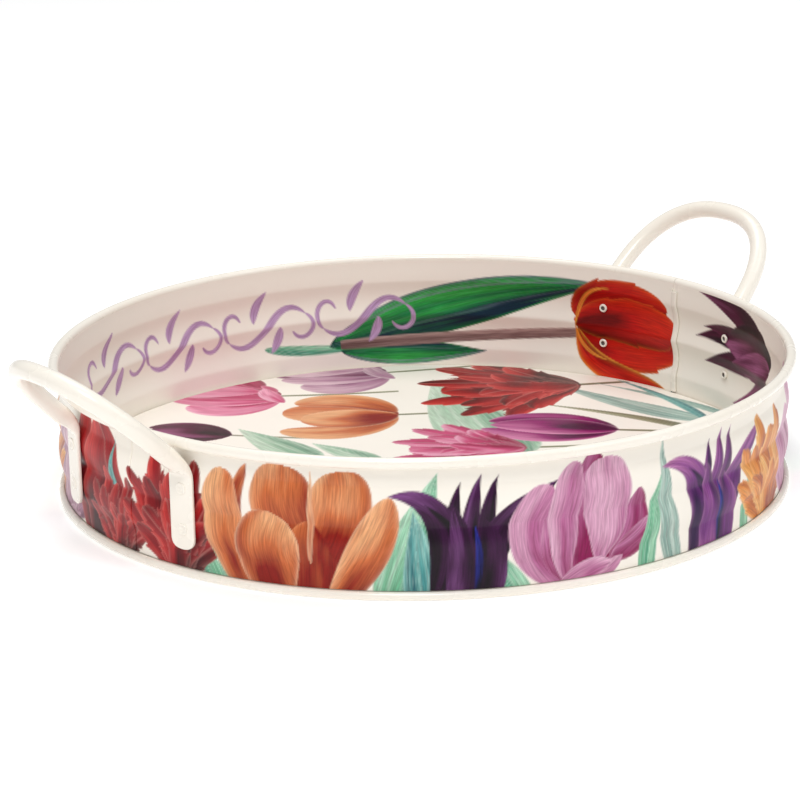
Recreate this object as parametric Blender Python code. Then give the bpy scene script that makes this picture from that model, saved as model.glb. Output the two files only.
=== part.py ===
"""Round tinplate serving tray with two bent-tube handles, one object for each physical piece.

Frame: metres, +Z up, origin on the surface that the tray stands on, under the middle of the tray.
+X runs out through the right handle, and the two wall strips meet at azimuth 0 and 180 degrees.

The wall is two equal half-round strips. Each has a rolled rim, two swaged beads, a flange at its
foot, and a folded hook at each end. The hooks lock the strips together. The base pan's edge is
rolled round the strips' flanges into the ring that the tray stands on. Each handle is a round tube
with pressed-flat feet, and eight semi-tubular rivets hold the four feet to the wall.
"""

import math

import bmesh
import bpy
import numpy as np
from mathutils import Matrix, Vector

# --- driving dimensions, in metres and degrees -------------------------------------------------

# Sheet metal
SHEET = 0.0004
FIT_GAP = 0.0003
SEAM_GAP = 0.00015

# Wall
RIM_RADIUS = 0.195
RIM_HEIGHT = 0.0714
CURL_DIAMETER = 0.0056
CURL_END_ANGLE = -125.0
RIM_OVERHANG = 0.0062
BEAD_HEIGHTS = (0.0252, 0.0460)
BEAD_WIDTH = 0.0202
BEAD_DEPTH = 0.0021
FLANGE_BEND = 0.0009
FLANGE_REACH = 0.0009

# Seams between the two wall strips
SEAM_WIDTH = 0.0030
SEAM_JOG = 0.0012
JOG_SHARE = 0.6
SEAM_MARGIN = 0.0012
HOOK_SHORTENING = 0.0009

# Base pan
FLOOR_HEIGHT = 0.0055
FLOOR_BEND = 0.0010
RING_DIAMETER = 0.0041

# Handles
TUBE_DIAMETER = 0.0095
TUBE_WALL = 0.0010
HANDLE_AZIMUTHS = {"right": 2.0, "left": 178.4}
HANDLE_LEAN = 46.0
HANDLE_RIM_CLEARANCE = 0.0016
BOW_WIDTH = 0.0940
BOW_REACH = 0.0560
BOW_SQUARENESS = 0.85
FOOT_END_HEIGHT = 0.0149
FOOT_END_ROUND = 0.0106
FOOT_END_FACE = 0.0006
FOOT_SLIT = 0.0003
BEND_START = 0.0050
BEND_LENGTH = 0.0170

# Rivets
RIVET_SHANK = 0.0032
RIVET_HEAD = 0.0062
RIVET_HEAD_HEIGHT = 0.0008
RIVET_CLINCH = 0.0049
RIVET_CLINCH_HEIGHT = 0.0009
RIVET_BORE = 0.0022
LIP_SHARE = 0.6
DRILL_LENGTH = 0.02

# Facets
COLUMNS = 60
BEAD_FACETS = 6
RING_END_STEPS = 3
TUBE_SIDES = 10
RIVET_SIDES = 10

# --- sizes that follow from them ---------------------------------------------------------------

COLUMN_STEP = 360.0 / COLUMNS
WALL_INNER_RADIUS = RIM_RADIUS - RIM_OVERHANG
WALL_MIDDLE = WALL_INNER_RADIUS + SHEET / 2
WALL_OUTER_RADIUS = WALL_INNER_RADIUS + SHEET
CREST_RADIUS = WALL_OUTER_RADIUS + BEAD_DEPTH
CURL_CENTRE = RIM_RADIUS - CURL_DIAMETER / 2
CURL_MIDDLE = (CURL_DIAMETER - SHEET) / 2
CURL_HEIGHT = RIM_HEIGHT - CURL_DIAMETER / 2
LEG_OUTER_RADIUS = WALL_INNER_RADIUS - FIT_GAP
RING_CENTRE = LEG_OUTER_RADIUS - SHEET + RING_DIAMETER / 2
RING_MIDDLE = (RING_DIAMETER - SHEET) / 2
RING_FLAT_ANGLE = 13.0
RING_HEIGHT = RING_DIAMETER / 2 * math.cos(math.radians(RING_FLAT_ANGLE))
RING_END_ANGLE = math.degrees(
    math.acos((WALL_OUTER_RADIUS + FIT_GAP - RING_CENTRE) / (RING_DIAMETER / 2))
)
FOOT_WIDTH = math.pi * (TUBE_DIAMETER - TUBE_WALL) / 2 + TUBE_WALL
FOOT_THICKNESS = 2 * TUBE_WALL + FOOT_SLIT
FOOT_RADIUS = CREST_RADIUS + FIT_GAP + FOOT_THICKNESS / 2
FOOT_END_DEPTH = FOOT_END_ROUND / 3
RIVET_HOLE = RIVET_SHANK + 2 * FIT_GAP
# The wall's flat facets stand this far inside its true round at a bead's crest.
FACET_SAG = WALL_INNER_RADIUS * (1 - math.cos(math.pi / COLUMNS)) + BEAD_DEPTH * (2 / BEAD_FACETS) ** 2
RIVET_GRIP = FOOT_THICKNESS + SHEET + 3 * FIT_GAP + FACET_SAG
BEAD_CREST_TOP = BEAD_HEIGHTS[1] + BEAD_WIDTH / 2
HOOK_BOTTOM = max(FLOOR_HEIGHT + 2 * FIT_GAP, RING_DIAMETER + SEAM_MARGIN)
HOOK_TOP = CURL_HEIGHT - CURL_DIAMETER / 2 - SEAM_MARGIN


# --- materials ----------------------------------------------------------------------------------


def enamel(name: str, colour: tuple, roughness: float, metallic: float):
    """A Principled material of one colour."""
    material = bpy.data.materials.new(name)
    material.use_nodes = True
    shader = material.node_tree.nodes["Principled BSDF"]
    shader.inputs["Base Color"].default_value = (*colour, 1.0)
    shader.inputs["Roughness"].default_value = roughness
    shader.inputs["Metallic"].default_value = metallic
    return material


# --- mesh helpers -------------------------------------------------------------------------------


def add_object(name: str, points, faces, material):
    """One closed mesh, its faces turned outwards and its round parts shaded smooth."""
    mesh = bpy.data.meshes.new(name)
    mesh.from_pydata([tuple(map(float, p)) for p in points], [], faces)
    shell = bmesh.new()
    shell.from_mesh(mesh)
    bmesh.ops.remove_doubles(shell, verts=shell.verts, dist=1e-7)
    bmesh.ops.recalc_face_normals(shell, faces=shell.faces)
    if shell.calc_volume(signed=True) < 0:
        bmesh.ops.reverse_faces(shell, faces=shell.faces)
    shell.to_mesh(mesh)
    shell.free()
    mesh.shade_smooth()
    mesh.set_sharp_from_angle(angle=math.radians(40))
    mesh.materials.append(material)
    created = bpy.data.objects.new(name, mesh)
    bpy.context.scene.collection.objects.link(created)
    return created


def cut_holes(target, name: str, placements: list, diameter: float, length: float):
    """Drills one hole for each placement, whose local Z is the hole's axis."""
    shell = bmesh.new()
    for placement in placements:
        bmesh.ops.create_cone(
            shell,
            cap_ends=True,
            segments=RIVET_SIDES,
            radius1=diameter / 2,
            radius2=diameter / 2,
            depth=length,
            matrix=placement,
        )
    mesh = bpy.data.meshes.new(name)
    shell.to_mesh(mesh)
    shell.free()
    cutter = bpy.data.objects.new(name, mesh)
    bpy.context.scene.collection.objects.link(cutter)
    cutter.hide_render = True
    cutter.display_type = "WIRE"
    drill = target.modifiers.new("rivet_holes", "BOOLEAN")
    drill.operation = "DIFFERENCE"
    drill.solver = "EXACT"
    drill.object = cutter


def arc(centre: tuple, radius: float, start: float, end: float, steps: int) -> np.ndarray:
    """Points on a circle in the (radius, height) plane, from one angle to another, in degrees."""
    angles = np.radians(np.linspace(start, end, steps + 1))
    return np.column_stack([centre[0] + radius * np.cos(angles), centre[1] + radius * np.sin(angles)])


def both_sides(line: np.ndarray) -> tuple:
    """The two faces of a sheet whose middle is this line, half a thickness to each side of it."""
    ahead = np.gradient(line, axis=0)
    ahead /= np.linalg.norm(ahead, axis=1)[:, None]
    aside = np.column_stack([ahead[:, 1], -ahead[:, 0]]) * SHEET / 2
    return line + aside, line - aside


def outward(azimuth: float) -> Vector:
    """The horizontal direction away from the tray's axis at this azimuth, in degrees."""
    angle = math.radians(azimuth)
    return Vector((math.cos(angle), math.sin(angle), 0.0))


# --- wall strips --------------------------------------------------------------------------------


def wall_line() -> np.ndarray:
    """Middle of the wall sheet in (radius, height): flange, leg, two beads, flare and rolled rim."""
    flange_height = RING_HEIGHT
    bend = (WALL_MIDDLE + FLANGE_BEND, flange_height + FLANGE_BEND)
    lines = [[(RING_CENTRE + FLANGE_REACH, flange_height)]]
    lines.append(arc(bend, FLANGE_BEND, -90, -180, 3))
    lines.append([(WALL_MIDDLE, HOOK_BOTTOM - SEAM_MARGIN), (WALL_MIDDLE, HOOK_BOTTOM)])
    across = np.linspace(-1, 1, BEAD_FACETS + 1)
    for height in BEAD_HEIGHTS:
        swell = BEAD_DEPTH * (1 - across**2)
        lines.append(np.column_stack([WALL_MIDDLE + swell, height + across * BEAD_WIDTH / 2]))
    rim_start = CURL_CENTRE - CURL_MIDDLE
    for height in (HOOK_TOP, HOOK_TOP + SEAM_MARGIN):
        share = (height - BEAD_CREST_TOP) / (CURL_HEIGHT - BEAD_CREST_TOP)
        lines.append([(WALL_MIDDLE + share * (rim_start - WALL_MIDDLE), height)])
    lines.append(arc((CURL_CENTRE, CURL_HEIGHT), CURL_MIDDLE, 180, CURL_END_ANGLE, 11))
    return np.vstack(lines)


def hook_paths() -> tuple:
    """The folded ends, as (along the wall, inwards) points of the sheet's middle, from the seam.

    The first path steps in past the other strip and folds back outwards. The second runs on flush
    and folds inwards. Each fold holds the other strip's hook, one pitch deeper. Both start at the
    last plain column.
    """
    pitch = SHEET + SEAM_GAP
    turn = np.radians(np.linspace(0, 180, 5))
    halfway = (SEAM_WIDTH + SEAM_JOG * JOG_SHARE, 3 * pitch * (1 - JOG_SHARE))
    stepped = [halfway, (SEAM_WIDTH, 3 * pitch)]
    fold_in = np.column_stack([pitch - pitch * np.sin(turn), 2 * pitch + pitch * np.cos(turn)])
    start = [(SEAM_WIDTH + SEAM_JOG, 0.0)]
    stepped = np.vstack([start, stepped, fold_in, [(SEAM_WIDTH - HOOK_SHORTENING, pitch)]])
    middle = SEAM_WIDTH - pitch
    fold_out = np.column_stack([middle + pitch * np.sin(turn), pitch - pitch * np.cos(turn)])
    flush = np.vstack([fold_out, [(HOOK_SHORTENING, 2 * pitch)]])
    return stepped, flush


def strip_columns() -> tuple:
    """Azimuths of the strip's plain columns, from just past its stepped end to its flush end."""
    start = math.degrees((SEAM_WIDTH + SEAM_JOG) / WALL_MIDDLE)
    end = 180 + math.degrees((SEAM_WIDTH - SHEET - SEAM_GAP) / WALL_MIDDLE)
    return np.concatenate([[start], np.arange(COLUMN_STEP, 180.1, COLUMN_STEP), [end]])


def fan(azimuths: list, lines: list) -> list:
    """One column of points for each azimuth, from its own (radius, height) line."""
    made = []
    for azimuth, line in zip(azimuths, lines):
        direction = outward(azimuth)
        made.append([(direction.x * r, direction.y * r, z) for r, z in line])
    return made


class Sheet:
    """A bent sheet, built up from columns that each hold points on its two faces."""

    def __init__(self):
        self.points = []
        self.faces = []

    def column(self, azimuths: list, lines: list) -> list:
        """Adds one column for each face of the sheet, and returns their points' numbers."""
        numbers = []
        for points in fan(azimuths, lines):
            numbers.append(list(range(len(self.points), len(self.points) + len(points))))
            self.points.extend(points)
        return numbers

    def skin(self, one: list, two: list):
        """Joins two neighbouring columns on both faces of the sheet and closes their two ends."""
        for a, b in zip(one, two):
            self.faces.extend((a[k], a[k + 1], b[k + 1], b[k]) for k in range(len(a) - 1))
        for end in (0, -1):
            self.faces.append((one[0][end], one[1][end], two[1][end], two[0][end]))

    def cap(self, numbers: list):
        """Closes the edge of the sheet along one column."""
        a, b = numbers
        self.faces.extend((a[k], a[k + 1], b[k + 1], b[k]) for k in range(len(a) - 1))


def rows_of(numbers: list, first: int, last: int) -> list:
    """The same column, from one row to another."""
    return [side[first : last + 1] for side in numbers]


def wall_strip(name: str, turn: float, material):
    """One half of the wall. turn is the azimuth of its stepped end."""
    line = wall_line()
    outer, inner = both_sides(line)
    last_row = len(line) - 1
    low = int(np.argmin(abs(line[:, 1] - HOOK_BOTTOM)[: last_row // 2]))
    high = int(np.argmax(line[:, 1] > HOOK_TOP - 1e-9))
    sheet = Sheet()
    columns = [sheet.column([azimuth + turn] * 2, [outer, inner]) for azimuth in strip_columns()]
    for one, two in zip(columns, columns[1:]):
        sheet.skin(one, two)
    stepped, flush = hook_paths()
    ends = (
        (columns[0], stepped, turn, SEAM_WIDTH + FIT_GAP / 2),
        (columns[-1], flush, turn + 180.0, SEAM_WIDTH - FIT_GAP / 2),
    )
    for plain, path, seam, butt in ends:
        near, far = both_sides(path)
        if path is stepped:
            near, far = far, near
        previous = rows_of(plain, low, high)
        for pair in list(zip(near, far))[1:]:
            azimuths = [seam + math.degrees(along / WALL_MIDDLE) for along, _ in pair]
            lines = [line[low : high + 1] - [depth, 0] for _, depth in pair]
            hook = sheet.column(azimuths, lines)
            sheet.skin(previous, hook)
            previous = hook
        sheet.cap(previous)
        azimuth = seam + math.degrees(butt / WALL_MIDDLE)
        for first, last in ((0, low - 1), (high + 1, last_row)):
            edge = sheet.column([azimuth] * 2, [outer[first : last + 1], inner[first : last + 1]])
            sheet.skin(rows_of(plain, first, last), edge)
            sheet.cap(edge)
        sheet.cap(rows_of(plain, low - 1, low))
        sheet.cap(rows_of(plain, high, high + 1))
    return add_object(name, sheet.points, sheet.faces, material)


# --- base pan -----------------------------------------------------------------------------------


def base_line() -> np.ndarray:
    """Middle of the base sheet in (radius, height): floor, bend, leg and the rolled ring."""
    leg = LEG_OUTER_RADIUS - SHEET / 2
    floor = FLOOR_HEIGHT - SHEET / 2
    ring = (RING_CENTRE, RING_HEIGHT)
    rounds = (
        [(0.0, floor)],
        arc((leg - FLOOR_BEND, floor - FLOOR_BEND), FLOOR_BEND, 90, 0, 3),
        arc(ring, RING_MIDDLE, -180, -90 - RING_FLAT_ANGLE, RING_END_STEPS),
        arc(ring, RING_MIDDLE, -90 + RING_FLAT_ANGLE, RING_END_ANGLE, 6),
    )
    return np.vstack(rounds)


def base_pan(material):
    """The floor and, in one sheet with it, the ring rolled round the wall's flanges."""
    line = base_line()
    below, above = both_sides(line)
    below[0] = (0.0, line[0, 1] - SHEET / 2)
    above[0] = (0.0, line[0, 1] + SHEET / 2)
    lowest = np.argsort(line[:, 1])[:2]
    below[lowest, 1] = 0.0
    outline = np.vstack([above, below[::-1]])
    count = len(outline)
    points = [
        (math.cos(a) * r, math.sin(a) * r, z)
        for a in np.radians(np.arange(COLUMNS) * COLUMN_STEP)
        for r, z in outline
    ]
    faces = []
    for k in range(COLUMNS):
        here, there = k * count, (k + 1) % COLUMNS * count
        for i in range(count - 1):
            corners = (here + i, here + i + 1, there + i + 1, there + i)
            if i == 0:
                corners = corners[:3]
            if i == count - 2:
                corners = (corners[0], corners[1], corners[3])
            faces.append(corners)
    for k in range(COLUMNS):
        for pole, near in ((0, 1), (count - 1, count - 2)):
            points[k * count + pole] = points[pole]
    return add_object("base_pan", points, faces, material)


# --- handles ------------------------------------------------------------------------------------


def foot_azimuth() -> float:
    """How far each foot's middle is round from the handle's, so that the legs leave it straight."""
    return math.degrees(math.asin(BOW_WIDTH / 2 / FOOT_RADIUS))


def bow_start() -> float:
    """How far out the bow's plane stands where its legs begin, so that they pass the rolled rim."""
    lean = math.radians(HANDLE_LEAN)
    needed = (CURL_DIAMETER + TUBE_DIAMETER) / 2 + HANDLE_RIM_CLEARANCE
    leg_radius = CURL_CENTRE + (needed - CURL_DIAMETER * math.sin(lean)) / math.cos(lean)
    return math.sqrt(leg_radius**2 - (BOW_WIDTH / 2) ** 2)


def handle_stations() -> list:
    """(point, ahead, face) along the tube from one foot's end to the bow's middle, handle at azimuth 0.

    The foot lies flat on the wall. The bow is a half superellipse in a plane that leans outwards,
    and a cubic curve joins the two. face is the way that the flat side of the foot looks.
    """
    foot = foot_azimuth()
    radial = outward(foot)
    up = Vector((0, 0, 1))
    lean = math.radians(HANDLE_LEAN)
    rise = up * math.cos(lean) + outward(0) * math.sin(lean)
    plane = outward(0) * math.cos(lean) - up * math.sin(lean)
    base = radial * FOOT_RADIUS
    bend_foot = BEAD_HEIGHTS[1] + BEND_START
    start = outward(0) * bow_start() + up * (CURL_HEIGHT - CURL_DIAMETER)
    stations = []
    ease = 1 - np.cos(np.linspace(0, math.pi / 2, 6))
    end_steps = FOOT_END_HEIGHT + FOOT_END_DEPTH * ease
    plain = np.linspace(BEAD_HEIGHTS[0], bend_foot, 4)
    for height in [*end_steps, *plain]:
        stations.append((base + up * float(height), up, radial))
    leg_end = start + Vector((0, BOW_WIDTH / 2, 0))
    reach = BEND_LENGTH
    knots = (base + up * bend_foot, up * reach, leg_end, rise * reach)
    for t in np.linspace(0, 1, 7)[1:-1]:
        stations.append((*hermite(knots, float(t)), radial.lerp(plane, float(t)).normalized()))
    turns = np.linspace(0, math.pi / 2, 10)
    for turn in turns:
        across = BOW_WIDTH / 2 * abs(math.cos(turn)) ** BOW_SQUARENESS
        along = BOW_REACH * math.sin(turn) ** BOW_SQUARENESS
        stations.append([start + Vector((0, across, 0)) + rise * along, None, plane])
    stations[-1][0].y = 0.0
    first = len(stations) - len(turns)
    for k in range(first, len(stations)):
        if k == first:
            ahead = rise
        elif k == len(stations) - 1:
            ahead = Vector((0, -1, 0))
        else:
            ahead = (stations[k + 1][0] - stations[k - 1][0]).normalized()
        stations[k] = (stations[k][0], ahead, plane)
    return stations


def hermite(knots: tuple, t: float) -> tuple:
    """Point and direction at t on the cubic from one point and tangent to another."""
    start, leave, end, arrive = knots
    point = (
        start * (2 * t**3 - 3 * t**2 + 1)
        + leave * (t**3 - 2 * t**2 + t)
        + end * (3 * t**2 - 2 * t**3)
        + arrive * (t**3 - t**2)
    )
    ahead = (
        start * (6 * t**2 - 6 * t)
        + leave * (3 * t**2 - 4 * t + 1)
        + end * (6 * t - 6 * t**2)
        + arrive * (3 * t**2 - 2 * t)
    )
    return point, ahead.normalized()


def tube_section(flatness: float, width: float, inset: float) -> list:
    """(across, out) points of the tube's section, from round (0) to pressed flat (1).

    width is the pressed width at this place, and inset is how far inside the outer face it lies.
    """
    thickness = FOOT_THICKNESS / 2
    section = []
    for k in range(TUBE_SIDES):
        angle = 2 * math.pi * (k + 0.5) / TUBE_SIDES
        c, s = math.cos(angle), math.sin(angle)
        straight = max(width / 2 - thickness, 0.0) * max(-1.0, min(1.0, 1.6 * c))
        half_width = min(thickness, width / 2) - inset
        flat = (straight + half_width * c, (thickness - inset) * max(-1.0, min(1.0, 1.5 * s)))
        rounded = ((TUBE_DIAMETER / 2 - inset) * c, (TUBE_DIAMETER / 2 - inset) * s)
        section.append(tuple(flatness * f + (1 - flatness) * r for f, r in zip(flat, rounded)))
    return section


def handle(name: str, azimuth: float, material):
    """A bent tube with two pressed feet, open in a thin slit at each foot's end."""
    half = handle_stations()
    bend_foot = BEAD_HEIGHTS[1] + BEND_START
    round_height = CURL_HEIGHT - CURL_DIAMETER
    rings = []
    for inset in (0.0, TUBE_WALL):
        layer = []
        for point, ahead, face in half:
            across = ahead.cross(face).normalized()
            out = across.cross(ahead).normalized()
            share = (point.z - bend_foot) / (round_height - bend_foot)
            share = max(0.0, min(1.0, share))
            flatness = 1 - share * share * (3 - 2 * share)
            from_end = max(point.z - FOOT_END_HEIGHT, 0.0)
            depth = max(FOOT_END_ROUND - from_end - FOOT_END_FACE, 0.0)
            width = FOOT_WIDTH
            if from_end < FOOT_END_DEPTH - 1e-9:
                width = min(width, 2 * math.sqrt(FOOT_END_ROUND**2 - depth**2))
            section = tube_section(flatness, width, inset)
            layer.append([point + across * x + out * y for x, y in section])
        mirror = [[Vector((p.x, -p.y, p.z)) for p in ring] for ring in layer[-2::-1]]
        rings.append(layer + mirror)
    spin = Matrix.Rotation(math.radians(azimuth), 4, "Z")
    count = len(rings[0])
    points = [spin @ p for layer in rings for ring in layer for p in ring]
    faces = []
    for layer in range(2):
        for s in range(count - 1):
            here = (layer * count + s) * TUBE_SIDES
            there = here + TUBE_SIDES
            for k in range(TUBE_SIDES):
                n = (k + 1) % TUBE_SIDES
                faces.append((here + k, here + n, there + n, there + k))
    for s in (0, count - 1):
        outer, inner = s * TUBE_SIDES, (count + s) * TUBE_SIDES
        for k in range(TUBE_SIDES):
            n = (k + 1) % TUBE_SIDES
            faces.append((outer + k, outer + n, inner + n, inner + k))
    return add_object(name, points, faces, material)


# --- rivets -------------------------------------------------------------------------------------


def rivet_sites() -> dict:
    """Name and azimuth of each foot, with the height of its rivets: one on each bead's crest."""
    sites = {}
    for side, azimuth in HANDLE_AZIMUTHS.items():
        for sign in (-1, 1):
            foot = azimuth + sign * foot_azimuth()
            end = "back" if math.sin(math.radians(foot)) > 0 else "front"
            for level, height in zip(("lower", "upper"), BEAD_HEIGHTS):
                sites[f"rivet_{side}_{end}_{level}"] = (foot, height)
    return sites


def rivet_place(azimuth: float, height: float, radius: float) -> Matrix:
    """A frame whose Z looks outwards, at this azimuth, height and distance from the tray's axis."""
    direction = outward(azimuth)
    turned = direction.to_track_quat("Z", "Y").to_matrix().to_4x4()
    turned.translation = direction * radius + Vector((0, 0, height))
    return turned


def rivet(name: str, azimuth: float, height: float, material):
    """A low domed head outside, a shank, and a clinched ring with a blind bore inside."""
    head, clinch = RIVET_HEAD / 2, RIVET_CLINCH / 2
    shank, bore = RIVET_SHANK / 2, RIVET_BORE / 2
    lip = -RIVET_GRIP - LIP_SHARE * RIVET_CLINCH_HEIGHT
    profile = (
        (0.6 * head, 0.8 * RIVET_HEAD_HEIGHT),
        (0.92 * head, 0.35 * RIVET_HEAD_HEIGHT),
        (head, 0.0),
        (shank, 0.0),
        (shank, -RIVET_GRIP),
        (clinch, -RIVET_GRIP),
        (0.94 * clinch, lip),
        ((clinch + bore) / 2, -RIVET_GRIP - RIVET_CLINCH_HEIGHT),
        (bore, lip),
        (bore, -RIVET_GRIP / 2),
    )
    place = rivet_place(azimuth, height, CREST_RADIUS + FOOT_THICKNESS + 2 * FIT_GAP)
    count = len(profile)
    points = [place @ Vector((0, 0, RIVET_HEAD_HEIGHT)), place @ Vector((0, 0, -RIVET_GRIP / 2))]
    for k in range(RIVET_SIDES):
        side = outward(360.0 * k / RIVET_SIDES)
        points.extend(place @ (side * r + Vector((0, 0, z))) for r, z in profile)
    faces = []
    for k in range(RIVET_SIDES):
        here, there = 2 + k * count, 2 + (k + 1) % RIVET_SIDES * count
        for i in range(count - 1):
            faces.append((here + i, here + i + 1, there + i + 1, there + i))
        faces.append((0, here, there))
        faces.append((1, here + count - 1, there + count - 1))
    return add_object(name, points, faces, material)


# --- assembly -----------------------------------------------------------------------------------


def clear_scene():
    """Removes every object of the open scene."""
    for old in list(bpy.data.objects):
        bpy.data.objects.remove(old)


def build():
    """Makes the whole tray."""
    clear_scene()
    cream = enamel("cream_enamel", (0.93, 0.90, 0.82), 0.25, 0.0)
    printed = enamel("printed_enamel", (0.90, 0.86, 0.78), 0.28, 0.0)
    floor = enamel("printed_floor_enamel", (0.94, 0.91, 0.84), 0.28, 0.0)
    painted = enamel("painted_rivet", (0.90, 0.88, 0.82), 0.35, 0.2)
    walls = [wall_strip("wall_back", 0.0, printed), wall_strip("wall_front", 180.0, printed)]
    base_pan(floor)
    sites = rivet_sites()
    places = [rivet_place(azimuth, height, CREST_RADIUS) for azimuth, height in sites.values()]
    for wall in walls:
        cut_holes(wall, wall.name + "_drill", places, RIVET_HOLE, DRILL_LENGTH)
    for side, azimuth in HANDLE_AZIMUTHS.items():
        bow = handle(f"handle_{side}", azimuth, cream)
        mine = [rivet_place(*site, CREST_RADIUS) for name, site in sites.items() if side in name]
        cut_holes(bow, bow.name + "_drill", mine, RIVET_HOLE, DRILL_LENGTH)
    for name, (azimuth, height) in sites.items():
        rivet(name, azimuth, height, painted)


build()
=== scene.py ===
"""Looks of a round tinplate serving tray: fine sheet metal, printed tulips, enamel and a pale studio.

Frame: metres, +Z up, +X out through the right handle. Every piece is worked out with numpy in that
frame, as a grid or as a profile carried along a path, and its object stays at the origin.

Heights and radii below are the tray's own. The print is laid on the vertices of thin coats, one
brush shape after another, and the material adds the fine brush marks that follow each shape.
"""

import logging
import math
from collections.abc import Iterable, Sequence
from dataclasses import dataclass, field
from enum import Enum, auto

import bmesh
import bpy
import numpy as np
from mathutils import Matrix, Vector


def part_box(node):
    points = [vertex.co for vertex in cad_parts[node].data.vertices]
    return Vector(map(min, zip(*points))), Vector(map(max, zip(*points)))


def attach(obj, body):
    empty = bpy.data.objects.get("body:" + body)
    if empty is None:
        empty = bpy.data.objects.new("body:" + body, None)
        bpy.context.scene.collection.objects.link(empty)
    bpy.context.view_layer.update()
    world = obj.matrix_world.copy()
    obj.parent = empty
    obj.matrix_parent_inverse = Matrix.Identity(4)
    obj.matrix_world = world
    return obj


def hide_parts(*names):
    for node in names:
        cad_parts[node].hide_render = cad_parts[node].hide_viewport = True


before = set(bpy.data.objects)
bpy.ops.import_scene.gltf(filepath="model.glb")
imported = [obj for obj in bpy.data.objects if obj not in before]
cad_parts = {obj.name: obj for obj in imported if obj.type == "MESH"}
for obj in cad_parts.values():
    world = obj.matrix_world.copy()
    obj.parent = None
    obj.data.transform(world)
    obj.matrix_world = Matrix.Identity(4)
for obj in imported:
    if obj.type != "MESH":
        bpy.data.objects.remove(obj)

LOG = logging.getLogger("tray")
BODY = "root"
MM = 0.001


# --- numpy helpers --------------------------------------------------------------------------------


def ink(text: str) -> np.ndarray:
    """Linear colour from a six-digit web colour.

    Args:
        text: two hexadecimal digits each for red, green and blue.

    Returns:
        Three numbers, each channel raised from display to linear light.
    """
    shown = np.array([int(text[k : k + 2], 16) for k in (0, 2, 4)]) / 255.0
    return np.where(shown <= 0.04045, shown / 12.92, ((shown + 0.055) / 1.055) ** 2.4)


def ease(low: float, high: float, value: np.ndarray) -> np.ndarray:
    """Smooth step: 3 s squared minus 2 s cubed, with s running from 0 at low to 1 at high."""
    share = np.clip((value - low) / (high - low), 0.0, 1.0)
    return share * share * (3.0 - 2.0 * share)


def lattice(points: np.ndarray, seed: int) -> np.ndarray:
    """Value noise between 0 and 1.

    The corners of a unit lattice get the fractional part of a scrambled sine, and a point takes
    their smooth blend.

    Args:
        points: an array of (x, y) pairs, in lattice cells.
        seed: picks another field.

    Returns:
        One number for each point.
    """
    cell = np.floor(points)
    part = points - cell
    part = part * part * (3.0 - 2.0 * part)

    def corner(dx: int, dy: int) -> np.ndarray:
        """The lattice value one corner over."""
        scramble = (cell[:, 0] + dx) * 12.9898 + (cell[:, 1] + dy) * 78.233 + seed * 37.719
        return (np.sin(scramble) * 43758.5453) % 1.0

    low = corner(0, 0) * (1 - part[:, 0]) + corner(1, 0) * part[:, 0]
    high = corner(0, 1) * (1 - part[:, 0]) + corner(1, 1) * part[:, 0]
    return low * (1 - part[:, 1]) + high * part[:, 1]


def bezier(knots: Sequence[tuple[float, float]], count: int = 33) -> np.ndarray:
    """Points on a Bezier curve: each knot weighted by its Bernstein polynomial.

    Args:
        knots: the curve's control points.
        count: how many points.

    Returns:
        An array of (x, y) rows.
    """
    order = len(knots) - 1
    t = np.linspace(0.0, 1.0, count)[:, None]
    k = np.arange(order + 1)[None, :]
    choose = np.array([math.comb(order, i) for i in range(order + 1)])
    return (choose * t**k * (1 - t) ** (order - k)) @ np.array(knots, float)


def ring_points(azimuths: np.ndarray, radii: np.ndarray, heights: np.ndarray) -> np.ndarray:
    """Points from azimuth in degrees, radius and height, each broadcast against the others."""
    angle = np.radians(azimuths)
    shape = np.broadcast(angle, radii, heights).shape
    turned = (np.cos(angle) * radii, np.sin(angle) * radii, heights)
    return np.stack([np.broadcast_to(part, shape) for part in turned], axis=-1)


def arc(centre: tuple[float, float], radius: float, start: float, end: float, steps: int) -> np.ndarray:
    """Points of a circle in the (radius, height) plane from one angle to another, in degrees."""
    angle = np.radians(np.linspace(start, end, steps + 1))
    return np.column_stack([centre[0] + radius * np.cos(angle), centre[1] + radius * np.sin(angle)])


def both_sides(line: np.ndarray, thickness: float) -> tuple[np.ndarray, np.ndarray]:
    """The two faces of a sheet: the line moved half a thickness along its own normal each way."""
    ahead = np.gradient(line, axis=0)
    ahead /= np.linalg.norm(ahead, axis=1)[:, None]
    aside = np.column_stack([ahead[:, 1], -ahead[:, 0]]) * thickness / 2
    return line + aside, line - aside


# --- meshes ---------------------------------------------------------------------------------------


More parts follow.
